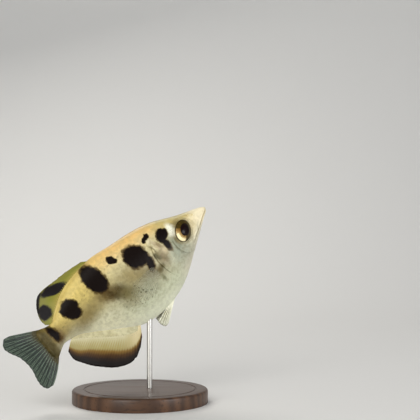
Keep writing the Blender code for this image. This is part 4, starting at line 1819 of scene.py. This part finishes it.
@dataclass(frozen=True)
class WoodFinish:
    """Dark satin wood, with its grain across the base."""

    dark: Colour = (0.030, 0.014, 0.008)
    light: Colour = (0.110, 0.052, 0.024)
    pore: Colour = (0.012, 0.006, 0.004)

    def material(self) -> bpy.types.Material:
        """Makes the material.

        Returns:
            The material.
        """
        shade = Shade("dark_wood")
        long = shade.stretched(18.0, 160.0, 60.0)
        swirl = shade.noise(long, 1.6, 4.0, 0.6)
        rings = shade.node("ShaderNodeTexWave", {"bands_direction": "Y"},
                           {"Vector": long, "Scale": 0.5, "Distortion": 5.0, "Detail": 3.0})
        pores = shade.noise(shade.stretched(120.0, 1800.0, 900.0), 1.0, 2.0)
        colour = shade.mix(rings * 0.6 + swirl * 0.4, self.dark, self.light)
        colour = shade.mix(pores.step(0.42, 0.30) * 0.6, colour, self.pore)
        return shade.done(Base_Color=colour, Roughness=swirl * 0.2 + 0.34, Coat_Weight=0.10,
                          Coat_Roughness=0.20, Specular_IOR_Level=0.35,
                          Normal=shade.bumps((pores, 0.15, 0.0001)))


@dataclass(frozen=True)
class SteelFinish:
    """Brushed steel, its fine lines round the rod."""

    colour: Colour = (0.60, 0.59, 0.56)
    line: Colour = (0.42, 0.41, 0.39)

    def material(self) -> bpy.types.Material:
        """Makes the material.

        Returns:
            The material.
        """
        shade = Shade("brushed_steel")
        lines = shade.noise(shade.stretched(60.0, 60.0, 6000.0), 1.0, 2.0)
        colour = shade.mix(lines * 0.35, self.colour, self.line)
        return shade.done(Base_Color=colour, Metallic=1.0, Roughness=lines * 0.2 + 0.2,
                          Normal=shade.bumps((lines, 0.12, 0.00002)))


@dataclass
class Stand:
    """The turned wooden base and the rod that holds the fish."""

    body: BodyForm
    base_radius: float = 0.032
    base_height: float = 0.0065
    bevel: float = 0.0012
    rod_radius: float = 0.0013
    rod_station: float = 0.56
    rod_sink: float = 0.0015
    turns: int = 128

    def base(self, material: bpy.types.Material) -> bpy.types.Object:
        """Makes the base: a disc with a rounded top edge and a fine turned line.

        Args:
            material: its finish.

        Returns:
            The piece.
        """
        form = bmesh.new()
        bmesh.ops.create_cone(form, cap_ends=True, segments=self.turns, radius1=self.base_radius,
                              radius2=self.base_radius, depth=self.base_height,
                              matrix=Matrix.Translation((0, 0, self.base_height / 2)))
        top = [f for f in form.faces if f.normal.z > 0.9]
        rims = [e for f in top for e in f.edges]
        bmesh.ops.bevel(form, geom=rims, offset=self.bevel, segments=5, profile=0.5,
                        affect="EDGES", material=-1)
        foot = [e for e in form.edges if all(v.co.z < 1e-5 for v in e.verts)]
        bmesh.ops.bevel(form, geom=foot, offset=0.0003, segments=2, profile=0.5,
                        affect="EDGES", material=-1)
        top = [f for f in form.faces if f.normal.z > 0.99 and len(f.verts) > 8]
        for inset, drop in ((0.0042, 0.0), (0.00025, -0.0003), (0.0004, 0.0), (0.00025, 0.0003)):
            bmesh.ops.inset_region(form, faces=top, thickness=inset, depth=drop)
        bmesh.ops.recalc_face_normals(form, faces=form.faces)
        return add_piece("base", form, material, Slot.WOOD, ("stand_base",), 35)

    def rod(self, material: bpy.types.Material) -> bpy.types.Object:
        """Makes the rod, whose top ends inside the belly.

        Args:
            material: its finish.

        Returns:
            The piece.
        """
        form = bmesh.new()
        top = self.body.fish.place(self.rod_station, 0, self.body.belly(self.rod_station))
        low, high = self.base_height - 0.0005, top.z + self.rod_sink
        bmesh.ops.create_cone(form, cap_ends=True, segments=48, radius1=self.rod_radius,
                              radius2=self.rod_radius, depth=high - low,
                              matrix=Matrix.Translation((top.x, top.y, (low + high) / 2)))
        return add_piece("rod", form, material, Slot.METAL, ("stand_rod",), 35)

    def build(self) -> None:
        """Makes the base and the rod."""
        self.base(WoodFinish().material())
        self.rod(SteelFinish().material())


@dataclass
class Studio:
    """A plain pale floor that sweeps up behind, soft lights and the camera."""

    camera_place: tuple[float, float, float] = (0.03296, -0.56133, 0.09065)
    lens: float = 102.0
    sensor: float = 36.0
    aim: tuple[float, float, float] = (0.0, 0.0, 0.05)
    floor_size: float = 3.0
    sweep_start: float = 0.4
    sweep: float = 0.5
    sky: Colour = (0.95, 0.97, 1.0)
    sky_strength: float = 0.30

    def floor(self) -> None:
        """Makes the floor and backdrop as one sheet."""
        form = bmesh.new()
        bmesh.ops.create_grid(form, x_segments=2, y_segments=60, size=self.floor_size / 2)
        for vert in form.verts:
            run = vert.co.y - self.sweep_start
            if run > 0:
                angle = min(run / self.sweep, math.pi / 2)
                vert.co.y = self.sweep_start + self.sweep * math.sin(angle)
                past = max(0.0, run - self.sweep * math.pi / 2)
                vert.co.z = self.sweep * (1 - math.cos(angle)) + past
        shade = Shade("floor_paint")
        grain = shade.noise(shade.node("ShaderNodeTexCoord", {}, {}, "Object"), 30.0, 3.0)
        paint = shade.mix(grain * 0.1, (0.79, 0.785, 0.765), (0.73, 0.725, 0.705))
        floor = linked("floor", form, shade.done(Base_Color=paint, Roughness=0.8))

    def light(self, name: str, place: tuple[float, float, float], size: float, power: float,
              colour: Colour) -> None:
        """Adds a square area light that points at the fish.

        Args:
            name: the light's name.
            place: where it hangs.
            size: its side.
            power: its power, in watts.
            colour: its colour.
        """
        lamp = bpy.data.lights.new(name, "AREA")
        lamp.size, lamp.energy, lamp.color = size, power, colour
        holder = bpy.data.objects.new(name, lamp)
        holder.location = place
        way = Vector(self.aim) - Vector(place)
        holder.rotation_euler = way.to_track_quat("-Z", "Y").to_euler()
        bpy.context.scene.collection.objects.link(holder)

    def camera(self) -> None:
        """Makes the camera, level and looking along +Y."""
        lens = bpy.data.cameras.new("camera")
        lens.lens, lens.sensor_width = self.lens, self.sensor
        lens.clip_start = 0.01
        holder = bpy.data.objects.new("camera", lens)
        holder.location = self.camera_place
        holder.rotation_euler = (math.pi / 2, 0, 0)
        bpy.context.scene.collection.objects.link(holder)
        bpy.context.scene.camera = holder

    def build(self) -> None:
        """Makes the floor, the lights, the world and the camera."""
        self.floor()
        self.light("key", (-0.25, -0.70, 0.45), 0.45, 3.1, (1.0, 0.97, 0.92))
        self.light("fill", (0.65, -0.45, 0.03), 0.50, 5.5, (0.97, 0.98, 1.0))
        self.light("low", (-0.30, -0.60, 0.02), 0.30, 2.5, (1.0, 0.98, 0.94))
        self.light("rim", (-0.2, 0.5, 0.6), 0.40, 2.2, (1.0, 0.97, 0.92))
        world = bpy.data.worlds.new("world")
        world.use_nodes = True
        background = world.node_tree.nodes["Background"]
        background.inputs["Color"].default_value = (*self.sky, 1.0)
        background.inputs["Strength"].default_value = self.sky_strength
        bpy.context.scene.world = world
        bpy.context.scene.view_settings.view_transform = "Standard"
        self.camera()


def main() -> None:
    """Builds the sub-assemblies in order."""
    logging.basicConfig(level=logging.INFO, format="%(name)s: %(message)s")
    body = BodyForm()
    Studio().build()
    skin_finish = SkinFinish()
    skin = Skin(body)
    skin.build(skin_finish.material("wet_skin", 0.30))
    scale_skin = skin_finish.material("scale_skin", 0.26)
    ScaleCoat(body, skin).build(scale_skin)
    eye_finish = EyeFinish()
    iris = eye_finish.material()
    for hand in Side:
        Eye(body, hand).build(iris)
    FinSet(body, skin).build(scale_skin)
    Stand(body).build()


if __name__ == "__main__":
    main()
